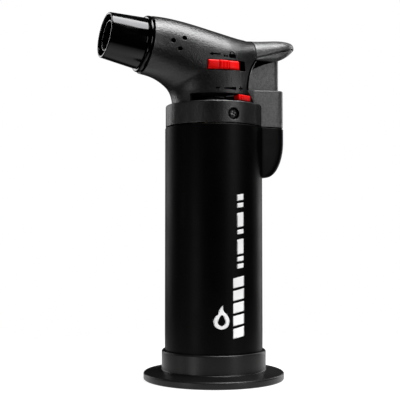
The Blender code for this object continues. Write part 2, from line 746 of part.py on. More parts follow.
def cover_rings(inset, heights, sides=48):
    rings = []
    for height in heights:
        radius = mix(COLLAR_RADIUS, NECK_RADIUS + 0.1,
                     smooth_step((height - (NECK_Z - 1.4)) / 1.4))
        ring = polar_ring(radius - inset, COVER_HALF - inset, COVER_REAR - inset,
                          BULGE_CORNER - inset * 0.5, height, sides)
        share = max(height - NECK_Z, 0.0) / (COVER_TOP - NECK_Z)
        rings.append([(x, y, z - share * COVER_SLOPE * (COVER_REAR - x)) for x, y, z in ring])
    return rings


def build_rear_cover():
    """The saddle behind the neck that the trigger's skirt slides in."""
    heights = (COLLAR_BOTTOM, NECK_Z - 1.4, NECK_Z - 0.7, NECK_Z, COVER_TOP - 0.6)
    rings = cover_rings(0.0, heights) + cover_rings(0.5, (COVER_TOP,))
    cover = loft("rear_cover", rings, CHARCOAL)
    hollow_heights = (COLLAR_BOTTOM - 1.0, NECK_Z - 1.4, NECK_Z - 0.7, NECK_Z,
                      COVER_TOP - THIN_WALL)
    hollow = loft("cover_hollow", cover_rings(THIN_WALL, hollow_heights))
    well = loft("skirt_well", [
        skirt_outline(-30.0, SKIRT_REAR + 0.7, SKIRT_HALF + 0.7, 3.6, z) for z in (95.0, 125.0)
    ])
    seam_x = COLLAR_RADIUS * math.sin(math.radians(SEAM_ANGLE)) + GAP
    front = prism_y("front_cut", [
        (-40.0, 95.0), (seam_x, 95.0), (seam_x, NECK_Z - 0.3), (seam_x - 0.9, NECK_Z + GAP),
        (rear_edge(NECK_Z) + GAP + 1.1, NECK_Z + GAP + 0.1), (EDGE_FOOT_X + GAP, EDGE_FOOT_Z),
        (EDGE_FOOT_X + GAP, 125.0), (-40.0, 125.0),
    ], -30.0, 30.0)
    cut(cover, hollow, well, front)
    for side in (-1.0, 1.0):
        rings = []
        for i in range(9):
            height = mix(116.8, 129.3, i / 8.0)
            x = rear_edge(height) + GAP + 0.1
            low = SKIRT_HALF + 0.47
            high = max(low + 0.5, head_width(x, height) - 0.7)
            corners = ((x, low), (x + 0.9, low), (x + 0.9, high), (x, high))
            rings.append([(a, side * b, height) for a, b in corners])
        # The exact solver leaves open edges where the rib crosses the cover's crown.
        combine(cover, loft("arch_rib", rings), "UNION", "MANIFOLD")


# ------------------------------------------------------------------ the head

def build_head(name, side):
    """One head shell with its half of the collar. side is -1 for -Y and 1 for +Y."""
    shell = head_skin(name, CHARCOAL)

    def block(label, low_y, high_y, low, high):
        ends = sorted((side * low_y, side * high_y))
        return box(label, (low[0], ends[0], low[1]), (high[0], ends[1], high[1]))

    def drill(label, x, z, low_y, high_y, radius, sides=16):
        return rod(label, (x, side * low_y, z), (x, side * high_y, z), radius, sides=sides)

    join(shell,
         block("pin_boss", 4.6, 14.8, (PIN_X - 2.3, 115.2), (PIN_X + 2.1, 119.6)),
         drill("screw_boss", 0.0, SCREW_Z, 16.2, 18.8, 3.4, 20))
    other_side = block("other_side", -40.0, GAP / 2.0, (-60.0, 90.0), (60.0, 160.0))
    # The exact solver empties the shell here.
    combine(shell, other_side, "DIFFERENCE", "MANIFOLD")
    cut(shell,
        drill("pin_socket", PIN_X, PIN_Z, 3.0, 8.6, 1.3),
        drill("screw_hole", 0.0, SCREW_Z, 14.0, 22.0, 1.6),
        drill("screw_recess", 0.0, SCREW_Z, 17.6, 22.0, 2.4, 24))
    for x, z in AIR_HOLES:
        cut(shell, drill("air_hole", x, z, 4.0, 22.0, AIR_HOLE_RADIUS, 12))
    if side < 0.0:
        # The exact solver empties the shell at these two slots as well.
        for slot in (
            ring_sector("lever_slot", 12.0, 18.4, SLOT_LOW, SLOT_HIGH, -57.0, 34.6),
            block("slider_slot", 8.0, 22.0, (SLIDER_FRONT - GAP, SLIDER_LOW - GAP),
                  (SLIDER_REAR + SLIDER_TRAVEL + GAP, SLIDER_HIGH + GAP)),
        ):
            combine(shell, slot, "DIFFERENCE", "MANIFOLD")


def slider_block(name, x_low, x_high, z_low, z_high, inner, outer, material=None):
    """A block whose two faces follow the head's side, at these distances from its surface."""
    rings = []
    steps = 6
    for i in range(steps + 1):
        x = mix(x_low, x_high, i / steps)
        ring = []
        for z in (z_low, (z_low + z_high) / 2.0, z_high):
            ring.append((x, -(head_width(x, z) + outer), z))
        for z in (z_high, (z_low + z_high) / 2.0, z_low):
            ring.append((x, -(head_width(x, z) + inner), z))
        rings.append(ring)
    return loft(name, rings, material)


def build_lock_slider():
    slider = slider_block("lock_slider", SLIDER_FRONT, SLIDER_REAR, SLIDER_LOW, SLIDER_HIGH,
                          -3.4, 0.5, RED)
    flange = slider_block("slider_flange", SLIDER_FRONT - 1.2, SLIDER_REAR + 0.6,
                          SLIDER_LOW - 1.4, SLIDER_HIGH + 1.4, -4.2, -2.9)
    band = slider_block("slider_band", -4.5, -0.5, SLIDER_LOW, SLIDER_HIGH, -1.0, 0.9)
    join(slider, flange, band)


def build_screws():
    for name, side in (("collar_screw_left", -1.0), ("collar_screw_right", 1.0)):
        rotation = (math.radians(90.0 * side), 0.0, 0.0)
        screw = turned(name, [
            (0.0, 0.0), (1.6, 0.0), (2.05, 0.5), (2.05, 1.3), (1.3, 1.3), (1.3, 6.6),
            (0.0, 7.4),
        ], STEEL, 24, (0.0, side * 19.2, SCREW_Z), rotation)
        ends = sorted((side * 18.4, side * 20.0))
        for wide, tall in ((1.2, 0.28), (0.28, 1.2)):
            cut(screw, box("driver_slot", (-wide, ends[0], SCREW_Z - tall),
                           (wide, ends[1], SCREW_Z + tall)))


build_stand()
build_body_shell()
build_tank()
build_fill_valve()
build_outlet_valve()
build_flame_lever()
build_gas_lever()
build_nozzle()
build_igniter()
build_trigger()
build_rear_cover()
build_head("head_shell_left", -1.0)
build_head("head_shell_right", 1.0)
build_lock_slider()
build_screws()
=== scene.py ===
import math

import bmesh
import bpy
from mathutils import Matrix, Vector
from mathutils.geometry import tessellate_polygon


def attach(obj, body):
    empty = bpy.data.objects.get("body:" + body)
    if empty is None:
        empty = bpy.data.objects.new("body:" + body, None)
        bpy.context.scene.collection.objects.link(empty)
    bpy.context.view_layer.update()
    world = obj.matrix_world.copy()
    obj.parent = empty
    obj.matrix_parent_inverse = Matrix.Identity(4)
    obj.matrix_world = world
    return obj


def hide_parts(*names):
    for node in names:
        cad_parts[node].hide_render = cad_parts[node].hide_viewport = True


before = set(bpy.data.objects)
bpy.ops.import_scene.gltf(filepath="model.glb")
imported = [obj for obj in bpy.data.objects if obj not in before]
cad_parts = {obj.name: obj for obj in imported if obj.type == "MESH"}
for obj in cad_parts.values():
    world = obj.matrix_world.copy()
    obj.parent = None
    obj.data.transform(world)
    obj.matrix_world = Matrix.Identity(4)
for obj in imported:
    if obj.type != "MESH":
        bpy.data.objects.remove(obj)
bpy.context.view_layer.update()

# Lengths are in millimetres in the row frame: origin at the centre of the foot's underside,
# +Z up, nozzle towards -X, trigger towards +X, lock slider on the -Y side.
MM = 0.001
SIDES = (("left", -1.0), ("right", 1.0))
GAP = 0.3
SEAM = 0.05  # half the width of the parting line between the head shells
WALL, THIN_WALL = 1.6, 1.3

# Foot
FOOT_RADIUS, FOOT_RIM = 28.7, 2.2
FLOOR_TOP = 3.0
SOCKET_RADIUS, SOCKET_TOP = 21.3, 11.8

# Body shell and the bulge behind it
BODY_RADIUS = 20.0
BODY_BOTTOM = FLOOR_TOP + GAP
BODY_TOP = 102.4
BULGE_REAR, BULGE_HALF, BULGE_CORNER = 27.75, 12.0, 4.0
BULGE_FOOT, BULGE_FULL = 82.0, 97.0

# Collar and head
COLLAR_RADIUS = 19.8
COLLAR_BOTTOM = BODY_TOP + GAP
NECK_Z, NECK_RADIUS = 111.5, 17.2
SEAM_ANGLE = 53.1  # behind the side, where the collar meets the rear cover
PIVOT_X = -33.6  # the head's sections fan out from here, at NECK_Z
FRONT_ANGLE, FRONT_RADIUS, FRONT_DISTANCE = 81.6, 11.9, 23.65
TOP_REAR_Z = 139.5
TOP_RISE = 6.9  # how much higher the head's top is in front
TOP_FRONT_X, TOP_LENGTH = -28.0, 46.0  # where the fall starts, and how long it is
EDGE_X, EDGE_TOP_Z = 13.9, 131.0
EDGE_FOOT_X, EDGE_FOOT_Z = 7.3, 117.0
EDGE_SLANT, EDGE_POWER = 4.2, 1.9
TAPER = 0.16  # share of its width that the head loses towards the thumb pad
TAPER_LENGTH = 14.0
TAPER_LOW, TAPER_RISE = 116.0, 12.0
BOSS_RADIUS, RECESS_RADIUS, SCREW_HOLE_RADIUS = 3.4, 2.4, 1.6
BOSS_INNER, BOSS_OUTER, RECESS_FLOOR = 16.0, 18.9, 17.6
OUTSIDE = 22.0  # a distance from the axis that is outside the head

# Nozzle: distances run along its axis from the mouth, towards the rear
MOUTH = (-47.1, 0.0, 137.4)
NOZZLE_TILT = 8.4
MOUTH_RADIUS, GUARD_REAR_RADIUS = 9.15, 10.4
RING_INNER, RING_RADIUS = 10.0, 11.5
RING_FRONT, RING_REAR = 15.1, 16.9
SPIGOT_RADIUS, SPIGOT_BORE, SPIGOT_END = 9.7, 8.9, 20.5
TUBE_RADIUS = 6.25
TUBE_FRONT, TUBE_STEP, TUBE_END = 1.0, 17.2, 18.6
FLANGE_RADIUS = 8.6

# Trigger and rear cover
SKIRT_FRONT, SKIRT_REAR, SKIRT_HALF = 9.0, 26.3, 10.0
SKIRT_BOTTOM, SKIRT_TOP = 108.0, 132.0
SKIRT_WALL = 1.4
SKIRT_CORNER = 3.5
COVER_REAR, COVER_HALF, COVER_TOP = 27.7, 11.8, 118.2
COVER_BLEND = 1.4  # height over which the cover narrows from the collar to the neck
SLIDE_GAP = 0.55  # between the skirt and the cover
COVER_SLOPE = 0.05  # rise of the cover's top towards the rear
RIB_LOW, RIB_HIGH = 116.8, 129.3
PAD_FRONT, PAD_TIP, PAD_HALF = EDGE_X + GAP, 36.2, 11.6
PAD_BOW_X = 24.5  # the pad narrows behind this
PAD_DROOP = 1.8  # how far its top falls towards the tip
CREASE_Z, CREASE_SLOPE = 131.35, 0.296
PAD_BOTTOM_Z, PAD_CURL_X = 130.1, 22.0  # its underside curls up behind this
IGNITER_X = 19.0
CUP_RADIUS, CUP_LOW, CUP_HIGH = 2.6, 118.3, 131.5

# Lock slider
SLIDER_FRONT, SLIDER_REAR = -9.0, 4.2
SLIDER_LOW, SLIDER_HIGH = 124.3, 127.9
SLIDER_TRAVEL = 2.8
FRONT_BLOCK, BAND, REAR_BLOCK = 0.5, 0.64, 0.34  # heights off the head
BAND_FRONT, BAND_REAR = -4.5, -0.5  # the ridged band in its middle
RIDGES = (-3.8, -2.5, -1.2)
SLIDER_INNER = -3.4
FLANGE_INNER, FLANGE_OUTER = -4.2, -2.9
FLANGE_EDGE = 1.4

# Flame lever: angles run round the Z axis, from -Y towards +X
SLOT_LOW, SLOT_HIGH = 111.2, 114.8
SLOT_START, SLOT_END = -57.0, 34.6
SLOT_INNER, SLOT_OUTER = 12.0, 18.6
LEVER_LOW, LEVER_HIGH = 111.9, 114.4
HUB_INNER, HUB_OUTER = 4.65, 6.7
ARM_START, ARM_END = 13.0, 30.0
TIP_START, TIP_END = 10.5, 33.2
TIP_INNER, TIP_OUTER = 14.6, 17.78

AIR_HOLES = ((-22.7, 134.8), (-18.0, 136.0), (-20.0, 131.6))
AIR_HOLE_RADIUS = 0.95
SCREW_Z = 106.3
SCREW_HEAD_Y = 19.2
INK_LIFT, INK_THICKNESS = 0.02, 0.03


# ---- materials

class Nodes:
    """A material's node tree, with short calls to add and link nodes."""

    def __init__(self, name):
        self.material = bpy.data.materials.new(name)
        self.material.use_nodes = True
        self.tree = self.material.node_tree
        self.shader = self.tree.nodes["Principled BSDF"]
        self.coordinates = self.add("ShaderNodeTexCoord").outputs["Object"]

    def add(self, kind, **settings):
        node = self.tree.nodes.new(kind)
        for key, value in settings.items():
            setattr(node, key, value)
        return node

    def link(self, source, target):
        self.tree.links.new(source, target)

    @staticmethod
    def fill(node, **values):
        """Set a node's inputs. An underscore in a key stands for a space."""
        for key, value in values.items():
            node.inputs[key.replace("_", " ")].default_value = value

    def noise(self, scale, detail=2.0, roughness=0.5, stretch=None, distortion=0.0):
        node = self.add("ShaderNodeTexNoise")
        self.fill(node, Scale=scale, Detail=detail, Roughness=roughness, Distortion=distortion)
        where = self.coordinates
        if stretch is not None:
            mapping = self.add("ShaderNodeMapping")
            self.fill(mapping, Scale=stretch)
            self.link(where, mapping.inputs["Vector"])
            where = mapping.outputs["Vector"]
        self.link(where, node.inputs["Vector"])
        return node.outputs["Fac"]

    def spread(self, value, low, high, from_low=0.3, from_high=0.7):
        """Carry the range from_low to from_high over to low to high."""
        node = self.add("ShaderNodeMapRange")
        self.fill(node, From_Min=from_low, From_Max=from_high, To_Min=low, To_Max=high)
        self.link(value, node.inputs["Value"])
        return node.outputs["Result"]

    def math(self, operation, first, second):
        node = self.add("ShaderNodeMath", operation=operation)
        for socket, value in zip(node.inputs, (first, second)):
            if isinstance(value, (int, float)):
                socket.default_value = value
            else:
                self.link(value, socket)
        return node.outputs["Value"]

    def blend(self, share, first, second):
        """A colour between two, where share is a socket."""
        node = self.add("ShaderNodeMix", data_type="RGBA")
        for socket, colour in ((node.inputs[6], first), (node.inputs[7], second)):
            if isinstance(colour, tuple):
                socket.default_value = (*colour, 1.0)
            else:
                self.link(colour, socket)
        self.link(share, node.inputs[0])
        return node.outputs[2]

    def bump(self, height, distance, strength=1.0, normal=None):
        node = self.add("ShaderNodeBump")
        self.fill(node, Distance=distance, Strength=strength)
        self.link(height, node.inputs["Height"])
        if normal is not None:
            self.link(normal, node.inputs["Normal"])
        return node.outputs["Normal"]

    def edge(self, radius):
        """Rounded normal at edges, and a mask that is 1 on them."""
        bevel = self.add("ShaderNodeBevel", samples=4)
        self.fill(bevel, Radius=radius)
        geometry = self.add("ShaderNodeNewGeometry")
        dot = self.add("ShaderNodeVectorMath", operation="DOT_PRODUCT")
        self.link(bevel.outputs["Normal"], dot.inputs[0])
        self.link(geometry.outputs["Normal"], dot.inputs[1])
        mask = self.spread(dot.outputs["Value"], 1.0, 0.0, 0.7, 0.97)
        return bevel.outputs["Normal"], mask

    def finish(self, colour, roughness, normal, **values):
        """Link the shader, set its other inputs, and hand over the material."""
        for key, source in (("Base Color", colour), ("Roughness", roughness), ("Normal", normal)):
            self.link(source, self.shader.inputs[key])
        self.fill(self.shader, **values)
        return self.material


def shaded(colour, factor):
    return tuple(min(1.0, channel * factor) for channel in colour)


def grey(value):
    return (value, value, value)


EDGE_ROUND = 0.00025  # metres, as are all depths and distances in the materials
METAL_EDGE_ROUND = 0.0002
# How far the painted shade in crevices reaches
SHADE_REACH = 0.0025
WAVE_SCALE, WAVE_DEPTH = 160.0, 0.00004
TURNING_DEPTH = 0.000006


def moulded(name, colour, worn, roughness, grain, depth, specular=0.5, mottle=0.0):
    """Moulded plastic: fine grain, cloudy gloss, faint scuffs, lighter worn edges, and painted
    shade that darkens it in crevices. grain is the scale of its texture, and mottle how much
    lighter its grains are."""
    n = Nodes(name)
    normal, edge = n.edge(EDGE_ROUND)
    fine = n.noise(grain, 3.0, 0.6)
    cloud = n.noise(70.0, 3.0)
    scuff = n.noise(420.0, 4.0, 0.65, (1.0, 1.0, 0.16), 0.4)
    scratch = n.spread(scuff, 0.0, 1.0, 0.62, 0.72)
    wear = n.math("MULTIPLY", edge, n.spread(cloud, 0.25, 1.0))
    share = n.math("MAXIMUM", wear, n.math("MULTIPLY", scratch, 0.18))
    tone = n.blend(n.spread(cloud, 0.0, 1.0), shaded(colour, 0.85), colour)
    if mottle > 0.0:
        speckle = n.spread(n.noise(1250.0, 4.0, 0.7), 0.0, 1.0, 0.4, 0.62)
        tone = n.blend(speckle, tone, shaded(colour, 1.0 + mottle))
    tone = n.blend(share, tone, worn)
    # Painted shade: ambient occlusion darkens the colour to 0.12 of it in crevices, gaps and under
    # overhangs
    crevice_shade = n.add("ShaderNodeAmbientOcclusion", samples=6)
    n.fill(crevice_shade, Distance=SHADE_REACH)
    shade = n.spread(crevice_shade.outputs["AO"], 0.0, 1.0, 0.35, 0.95)
    tone = n.blend(shade, shaded(colour, 0.12), tone)
    gloss = n.math("ADD", n.spread(cloud, roughness - 0.04, roughness + 0.05),
                   n.math("MULTIPLY", scratch, 0.08))
    grained = n.bump(fine, depth, 0.6, normal)
    waved = n.bump(n.noise(WAVE_SCALE), WAVE_DEPTH, 0.35, grained)
    return n.finish(tone, gloss, waved, Specular_IOR_Level=specular)


def metal(name, dark, light, roughness, brushed=(1.0, 1.0, 1.0), stained=None, edge_highlight=1.4):
    """Metal with fine turning marks, cloudy gloss, faint stains, and a painted highlight that
    lightens its edges. brushed stretches the marks, and edge_highlight is how much lighter its
    edges are."""
    n = Nodes(name)
    normal, edge = n.edge(METAL_EDGE_ROUND)
    marks = n.noise(900.0, 2.0, 0.5, brushed)
    cloud = n.noise(110.0, 4.0, 0.6, None, 0.3)
    tone = n.blend(n.spread(cloud, 0.0, 1.0), dark, light)
    if stained is not None:
        tone = n.blend(n.spread(n.noise(240.0, 5.0), 0.0, 0.5, 0.55, 0.75), tone, stained)
    # Painted highlight: the edges are lightened towards edge_highlight times the light tone
    tone = n.blend(n.math("MULTIPLY", edge, 0.5), tone, shaded(light, edge_highlight))
    gloss = n.math("ADD", n.spread(cloud, roughness - 0.04, roughness + 0.06),
                   n.spread(marks, -0.02, 0.04))
    return n.finish(tone, gloss, n.bump(marks, TURNING_DEPTH, 0.4, normal), Metallic=1.0)


SOFT_BLACK = moulded("soft_touch_black", grey(0.0003), grey(0.0015), roughness=0.42,
                     grain=5200.0, depth=0.000012, specular=0.06)
CHARCOAL = moulded("charcoal_plastic", grey(0.0035), grey(0.012), roughness=0.3,
                   grain=1700.0, depth=0.00025, mottle=2.5)
TRIGGER_GREY = moulded("trigger_plastic", (0.03, 0.03, 0.0305), grey(0.08), roughness=0.36,
                       grain=1700.0, depth=0.00025, mottle=1.6)
FOOT_GREY = moulded("foot_plastic", (0.006, 0.0055, 0.0055), grey(0.008), roughness=0.34,
                    grain=4200.0, depth=0.00002, specular=0.22)
RED = moulded("red_plastic", (1.0, 0.001, 0.001), (1.0, 0.05, 0.03), roughness=0.34,
              grain=4600.0, depth=0.000008, specular=0.12)
NATURAL = moulded("natural_plastic", (0.62, 0.6, 0.53), (0.75, 0.73, 0.68), roughness=0.45,
                  grain=3000.0, depth=0.00002)
# Black rubber, also used for the painted shade of the flame lever's hub and the sheet above its
# slot
RUBBER_AND_SHADE = moulded("black_rubber_and_shade", grey(0.012), grey(0.03), roughness=0.62, grain=2600.0,
                 depth=0.00003, specular=0.3)
CERAMIC = moulded("white_ceramic", (0.78, 0.76, 0.7), (0.86, 0.84, 0.8), roughness=0.32,
                  grain=2400.0, depth=0.00001)
WHITE_INK = moulded("white_ink", grey(1.0), grey(0.9), roughness=0.5, grain=5200.0,
                    depth=0.000008)
# Dark print, also used for the painted shade and painted shadow on the thin pieces by the trigger
DARK_PRINT_AND_SHADE = moulded("dark_print_and_shade", grey(0.0006), grey(0.001), roughness=0.7, grain=5200.0,
                    depth=0.000008, specular=0.0)
# The black chrome's edges carry a strong painted highlight: thin white lines
BLACK_CHROME = metal("black_chrome", (0.021, 0.021, 0.0215), (0.025, 0.025, 0.0255),
                     roughness=0.09, brushed=(0.25, 1.0, 1.0), edge_highlight=50.0)
DARK_SCREW = metal("blackened_screw", (0.05, 0.05, 0.052), grey(0.09), roughness=0.3)
# The burner steel's edges carry a painted highlight too
STEEL = metal("burner_steel", (0.04, 0.038, 0.036), (0.09, 0.085, 0.08), roughness=0.26,
              brushed=(0.2, 1.0, 1.0), stained=(0.05, 0.045, 0.05), edge_highlight=8.0)
BRIGHT_STEEL = metal("spring_steel", (0.5, 0.5, 0.51), (0.66, 0.66, 0.67), roughness=0.24)
BRASS = metal("turned_brass", (0.62, 0.42, 0.17), (0.78, 0.58, 0.26), roughness=0.27,
              brushed=(1.0, 1.0, 0.2), stained=(0.35, 0.2, 0.08))


# ---- helpers

def smooth_step(share):
    """0 to 1 with level ends."""
    share = min(max(share, 0.0), 1.0)
    return share * share * (3.0 - 2.0 * share)


def mix(low, high, share):
    return low + (high - low) * share


def spaced(low, high, count):
    """This many values, evenly spaced, with both ends."""
    return [mix(low, high, i / (count - 1)) for i in range(count)]


def add_piece(name, work, material, body, nodes=(), sharp=32.0):
    """Turn a bmesh in millimetres into a piece that rides on a body and stands for nodes."""
    obj = raw_object(name, work, sharp)
    obj.data.materials.append(material)
    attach(obj, body)
    if nodes:
        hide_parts(*nodes)
    return obj


def new_object(name, data):
    obj = bpy.data.objects.new(name, data)
    bpy.context.scene.collection.objects.link(obj)
    return obj


def smooth_mesh(mesh, sharp):
    """Smooth shading, with edges over this angle kept sharp."""
    mesh.shade_smooth()
    mesh.set_sharp_from_angle(angle=math.radians(sharp))


def raw_object(name, work, sharp=None):
    """Turn a bmesh in millimetres into an object in metres, flat shaded if sharp is None."""
    bmesh.ops.scale(work, vec=(MM, MM, MM), verts=work.verts)
    mesh = bpy.data.meshes.new(name)
    work.to_mesh(mesh)
    work.free()
    if sharp is not None:
        smooth_mesh(mesh, sharp)
    return new_object(name, mesh)


def loft_mesh(rings, closed_ends=True):
    """Rings of equally many points, joined and capped."""
    work = bmesh.new()
    rows = [[work.verts.new(point) for point in ring] for ring in rings]
    count = len(rows[0])
    for low, high in zip(rows, rows[1:]):
        for i in range(count):
            j = (i + 1) % count
            work.faces.new((low[i], low[j], high[j], high[i]))
    if closed_ends:
        work.faces.new(rows[0])
        work.faces.new(rows[-1])
    bmesh.ops.recalc_face_normals(work, faces=work.faces)
    return work


def turned_mesh(profile, steps=128):
    """Solid of revolution about Z from points (radius, height). It closes into a ring
    unless both of its ends are on the axis."""
    work = bmesh.new()
    on_axis = profile[0][0] <= 0.0 and profile[-1][0] <= 0.0
    grid = []
    poles = {}
    for k in range(steps):
        turn = math.tau * k / steps
        c, s = math.cos(turn), math.sin(turn)
        row = []
        for i, (radius, z) in enumerate(profile):
            vert = poles.get(i) or work.verts.new((radius * c, radius * s, z))
            if radius <= 0.0:
                poles[i] = vert
            row.append(vert)
        grid.append(row)
    pairs = [(i, i + 1) for i in range(len(profile) - 1)]
    if not on_axis:
        pairs.append((len(profile) - 1, 0))
    for k in range(steps):
        a, b = grid[k], grid[(k + 1) % steps]
        for i, j in pairs:
            corners = list(dict.fromkeys((a[i], b[i], b[j], a[j])))
            if len(corners) > 2:
                work.faces.new(corners)
    bmesh.ops.recalc_face_normals(work, faces=work.faces)
    return work


def rounded(points, radius, segments=4, closed=False):
    """A polyline of 2D points with its inner corners rounded. A third value in a point is its
    own radius."""
    out = []
    count = len(points)
    for i, point in enumerate(points):
        here = Vector(point[:2])
        own = point[2] if len(point) > 2 else radius
        if not closed and i in (0, count - 1) or own <= 0.0:
            out.append(tuple(here))
            continue
        before = Vector(points[i - 1][:2]) - here
        after = Vector(points[(i + 1) % count][:2]) - here
        reach = min(own, before.length * 0.45, after.length * 0.45)
        start, end = here + before.normalized() * reach, here + after.normalized() * reach
        for k in range(segments + 1):
            t = k / segments
            out.append(tuple((1 - t) ** 2 * start + 2 * t * (1 - t) * here + t * t * end))
    return out


def rounded_box(u_low, u_high, v_low, v_high, radius=0.3, segments=4, slant=0.0):
    """Outline of a rectangle with rounded corners. slant lifts its far side."""
    outline = [(u_low, v_low), (u_high, v_low + slant), (u_high, v_high + slant), (u_low, v_high)]
    return rounded(outline, radius, segments, True)


def edge_drop(near, radius):
    """How far a rounded edge lies below its face, this near to the face's end."""
    if near >= radius:
        return 0.0
    return radius * (1.0 - math.sqrt(1.0 - (1.0 - near / radius) ** 2))


def moved(work, matrix):
    bmesh.ops.transform(work, matrix=matrix, verts=work.verts)
    return work


def on_nozzle_matrix():
    """Places a solid turned about Z, with Z = 0 at the nozzle's mouth."""
    return (Matrix.Translation(Vector(MOUTH))
            @ Matrix.Rotation(math.radians(90.0 + NOZZLE_TILT), 4, "Y"))


def block_mesh(low, high):
    work = bmesh.new()
    bmesh.ops.create_cube(work, size=1.0)
    size = Vector(high) - Vector(low)
    middle = (Vector(high) + Vector(low)) / 2.0
    bmesh.ops.scale(work, vec=size, verts=work.verts)
    bmesh.ops.translate(work, vec=middle, verts=work.verts)
    return work


def rod_mesh(start, end, radius, sides=48):
    work = bmesh.new()
    along = Vector(end) - Vector(start)
    bmesh.ops.create_cone(work, cap_ends=True, segments=sides, radius1=radius, radius2=radius,
                          depth=along.length)
    turn = Vector((0.0, 0.0, 1.0)).rotation_difference(along).to_matrix().to_4x4()
    middle = (Vector(start) + Vector(end)) / 2.0
    return moved(work, Matrix.Translation(middle) @ turn)


def boolean(target, work, operation="DIFFERENCE"):
    """Combine a piece with a bmesh in millimetres, and apply the result."""
    other = raw_object("cutter", work)
    modifier = target.modifiers.new("boolean", "BOOLEAN")
    modifier.object = other
    modifier.operation = operation
    modifier.solver = "EXACT"
    apply_modifiers(target)
    bpy.data.objects.remove(other, do_unlink=True)


def apply_modifiers(obj):
    graph = bpy.context.evaluated_depsgraph_get()
    graph.update()
    mesh = bpy.data.meshes.new_from_object(obj.evaluated_get(graph))
    obj.modifiers.clear()
    old = obj.data
    obj.data = mesh
    bpy.data.meshes.remove(old)


def finish_shading(obj, sharp):
    smooth_mesh(obj.data, sharp)
    weighted = obj.modifiers.new("normals", "WEIGHTED_NORMAL")
    weighted.keep_sharp = True


def thicken(obj, wall):
    """Give a surface a wall on its inner side."""
    shell = obj.modifiers.new("wall", "SOLIDIFY")
    shell.thickness = wall * MM
    shell.offset = -1.0
    shell.use_even_offset = True
    apply_modifiers(obj)


# ---- shapes that repeat

def rounded_reach(angle, half, rear, corner):
    """Distance from the axis to a rounded rectangle open to the front."""
    across, back = abs(math.cos(angle)), math.sin(angle)
    if back <= 0.0:
        return 0.0
    side = half / across if across > 1e-6 else 1e9
    reach = min(side, rear / back)
    centre_y, centre_x = half - corner, rear - corner
    if reach * across > centre_y and reach * back > centre_x:
        middle = centre_y * across + centre_x * back
        spread = middle * middle - centre_y ** 2 - centre_x ** 2 + corner ** 2
        reach = middle + math.sqrt(max(spread, 0.0))
    return reach


def round_axis(radius, turn, height):
    """A point round the Z axis, turned from -Y towards +X."""
    return radius * math.sin(turn), -radius * math.cos(turn), height


def polar_ring(radius, half, rear, corner, height, sides):
    """Plan outline of a cylinder joined to a rounded rectangle behind it."""
    ring = []
    for i in range(sides):
        angle = math.tau * i / sides
        reach = radius
        if rear > radius:
            reach = max(radius, rounded_reach(angle, half, rear, corner))
        ring.append(round_axis(reach, angle, height))
    return ring


def bulge_rear(height):
    """How far back the bulge reaches: a quarter of an ellipse, then upright."""
    share = min(max((height - BULGE_FOOT) / (BULGE_FULL - BULGE_FOOT), 0.0), 1.0)
    return mix(BODY_RADIUS - 0.6, BULGE_REAR, math.sqrt(1.0 - (1.0 - share) ** 2))


def underside_distance(angle):
    """Distance from the pivot to the head's underside, at an angle up from the rear."""
    return mix(-PIVOT_X - NECK_RADIUS, FRONT_DISTANCE - FRONT_RADIUS,
               smooth_step(angle / FRONT_ANGLE))


def top_height(x):
    """Height of the head's top line, which falls towards the rear."""
    return TOP_REAR_Z + TOP_RISE * (1.0 - smooth_step((x - TOP_FRONT_X) / TOP_LENGTH))


def head_ray(angle, distance):
    """X and Z of a point at this angle and distance from the pivot."""
    turn = math.radians(angle)
    return PIVOT_X + distance * math.cos(turn), NECK_Z + distance * math.sin(turn)


def solve(function, low, high):
    """Where a rising function crosses zero between low and high."""
    for _ in range(36):
        middle = (low + high) / 2.0
        if function(middle) < 0.0:
            low = middle
        else:
            high = middle
    return (low + high) / 2.0


def outer_distance(angle):
    """Distance from the pivot to the head's top, or to the outline that it would have behind."""
    neck = -PIVOT_X + NECK_RADIUS
    behind_gain, behind_angle, top_angle = 13.0, 22.0, 12.0  # the top counts from top_angle up
    behind = mix(neck, neck + behind_gain, smooth_step(angle / behind_angle))
    if angle < top_angle:
        return behind

    def above(distance):
        x, z = head_ray(angle, distance)
        return z - top_height(x)

    top = solve(above, 5.0, 140.0)
    soft = 2.0  # how gently the two outlines run into each other
    return -soft * math.log(math.exp(-top / soft) + math.exp(-behind / soft))


def rear_edge(height):
    """X of the head's rear edge at this height: a slant, an arc, then upright."""
    if height < EDGE_FOOT_Z:
        return EDGE_FOOT_X + EDGE_SLANT * (EDGE_FOOT_Z - height) / (EDGE_FOOT_Z - NECK_Z)
    share = min((height - EDGE_FOOT_Z) / (EDGE_TOP_Z - EDGE_FOOT_Z), 1.0)
    return EDGE_FOOT_X + (EDGE_X - EDGE_FOOT_X) * share ** EDGE_POWER


def section_terms(angle):
    """Middle, reach, half width and power of the head's section at this angle."""
    near, far = underside_distance(angle), outer_distance(angle)
    swell = math.sin(math.pi * min(angle / FRONT_ANGLE, 1.0))
    width = mix(NECK_RADIUS, FRONT_RADIUS, smooth_step(angle / FRONT_ANGLE))
    return (near + far) / 2.0, (far - near) / 2.0, width, mix(1.0, 0.9, swell)


def rear_taper(x, z):
    """The head narrows towards the thumb pad, above its neck."""
    rise = smooth_step((z - TAPER_LOW) / TAPER_RISE)
    return 1.0 - TAPER * smooth_step(x / TAPER_LENGTH) * rise


def head_section(angle, columns):
    """Points of one section, from the underside's middle round one side: (x, half width, z)."""
    middle, reach, width, power = section_terms(angle)

    def at(turn):
        c, s = math.cos(turn), math.sin(turn)
        distance = middle - reach * math.copysign(abs(c) ** power, c)
        x, z = head_ray(angle, distance)
        return x, width * abs(s) ** power * rear_taper(x, z), z

    def past_edge(turn):
        x, _, z = at(turn)
        return x - rear_edge(z)

    last = solve(past_edge, 0.0, math.pi)
    return [at(last * i / columns) for i in range(columns + 1)]


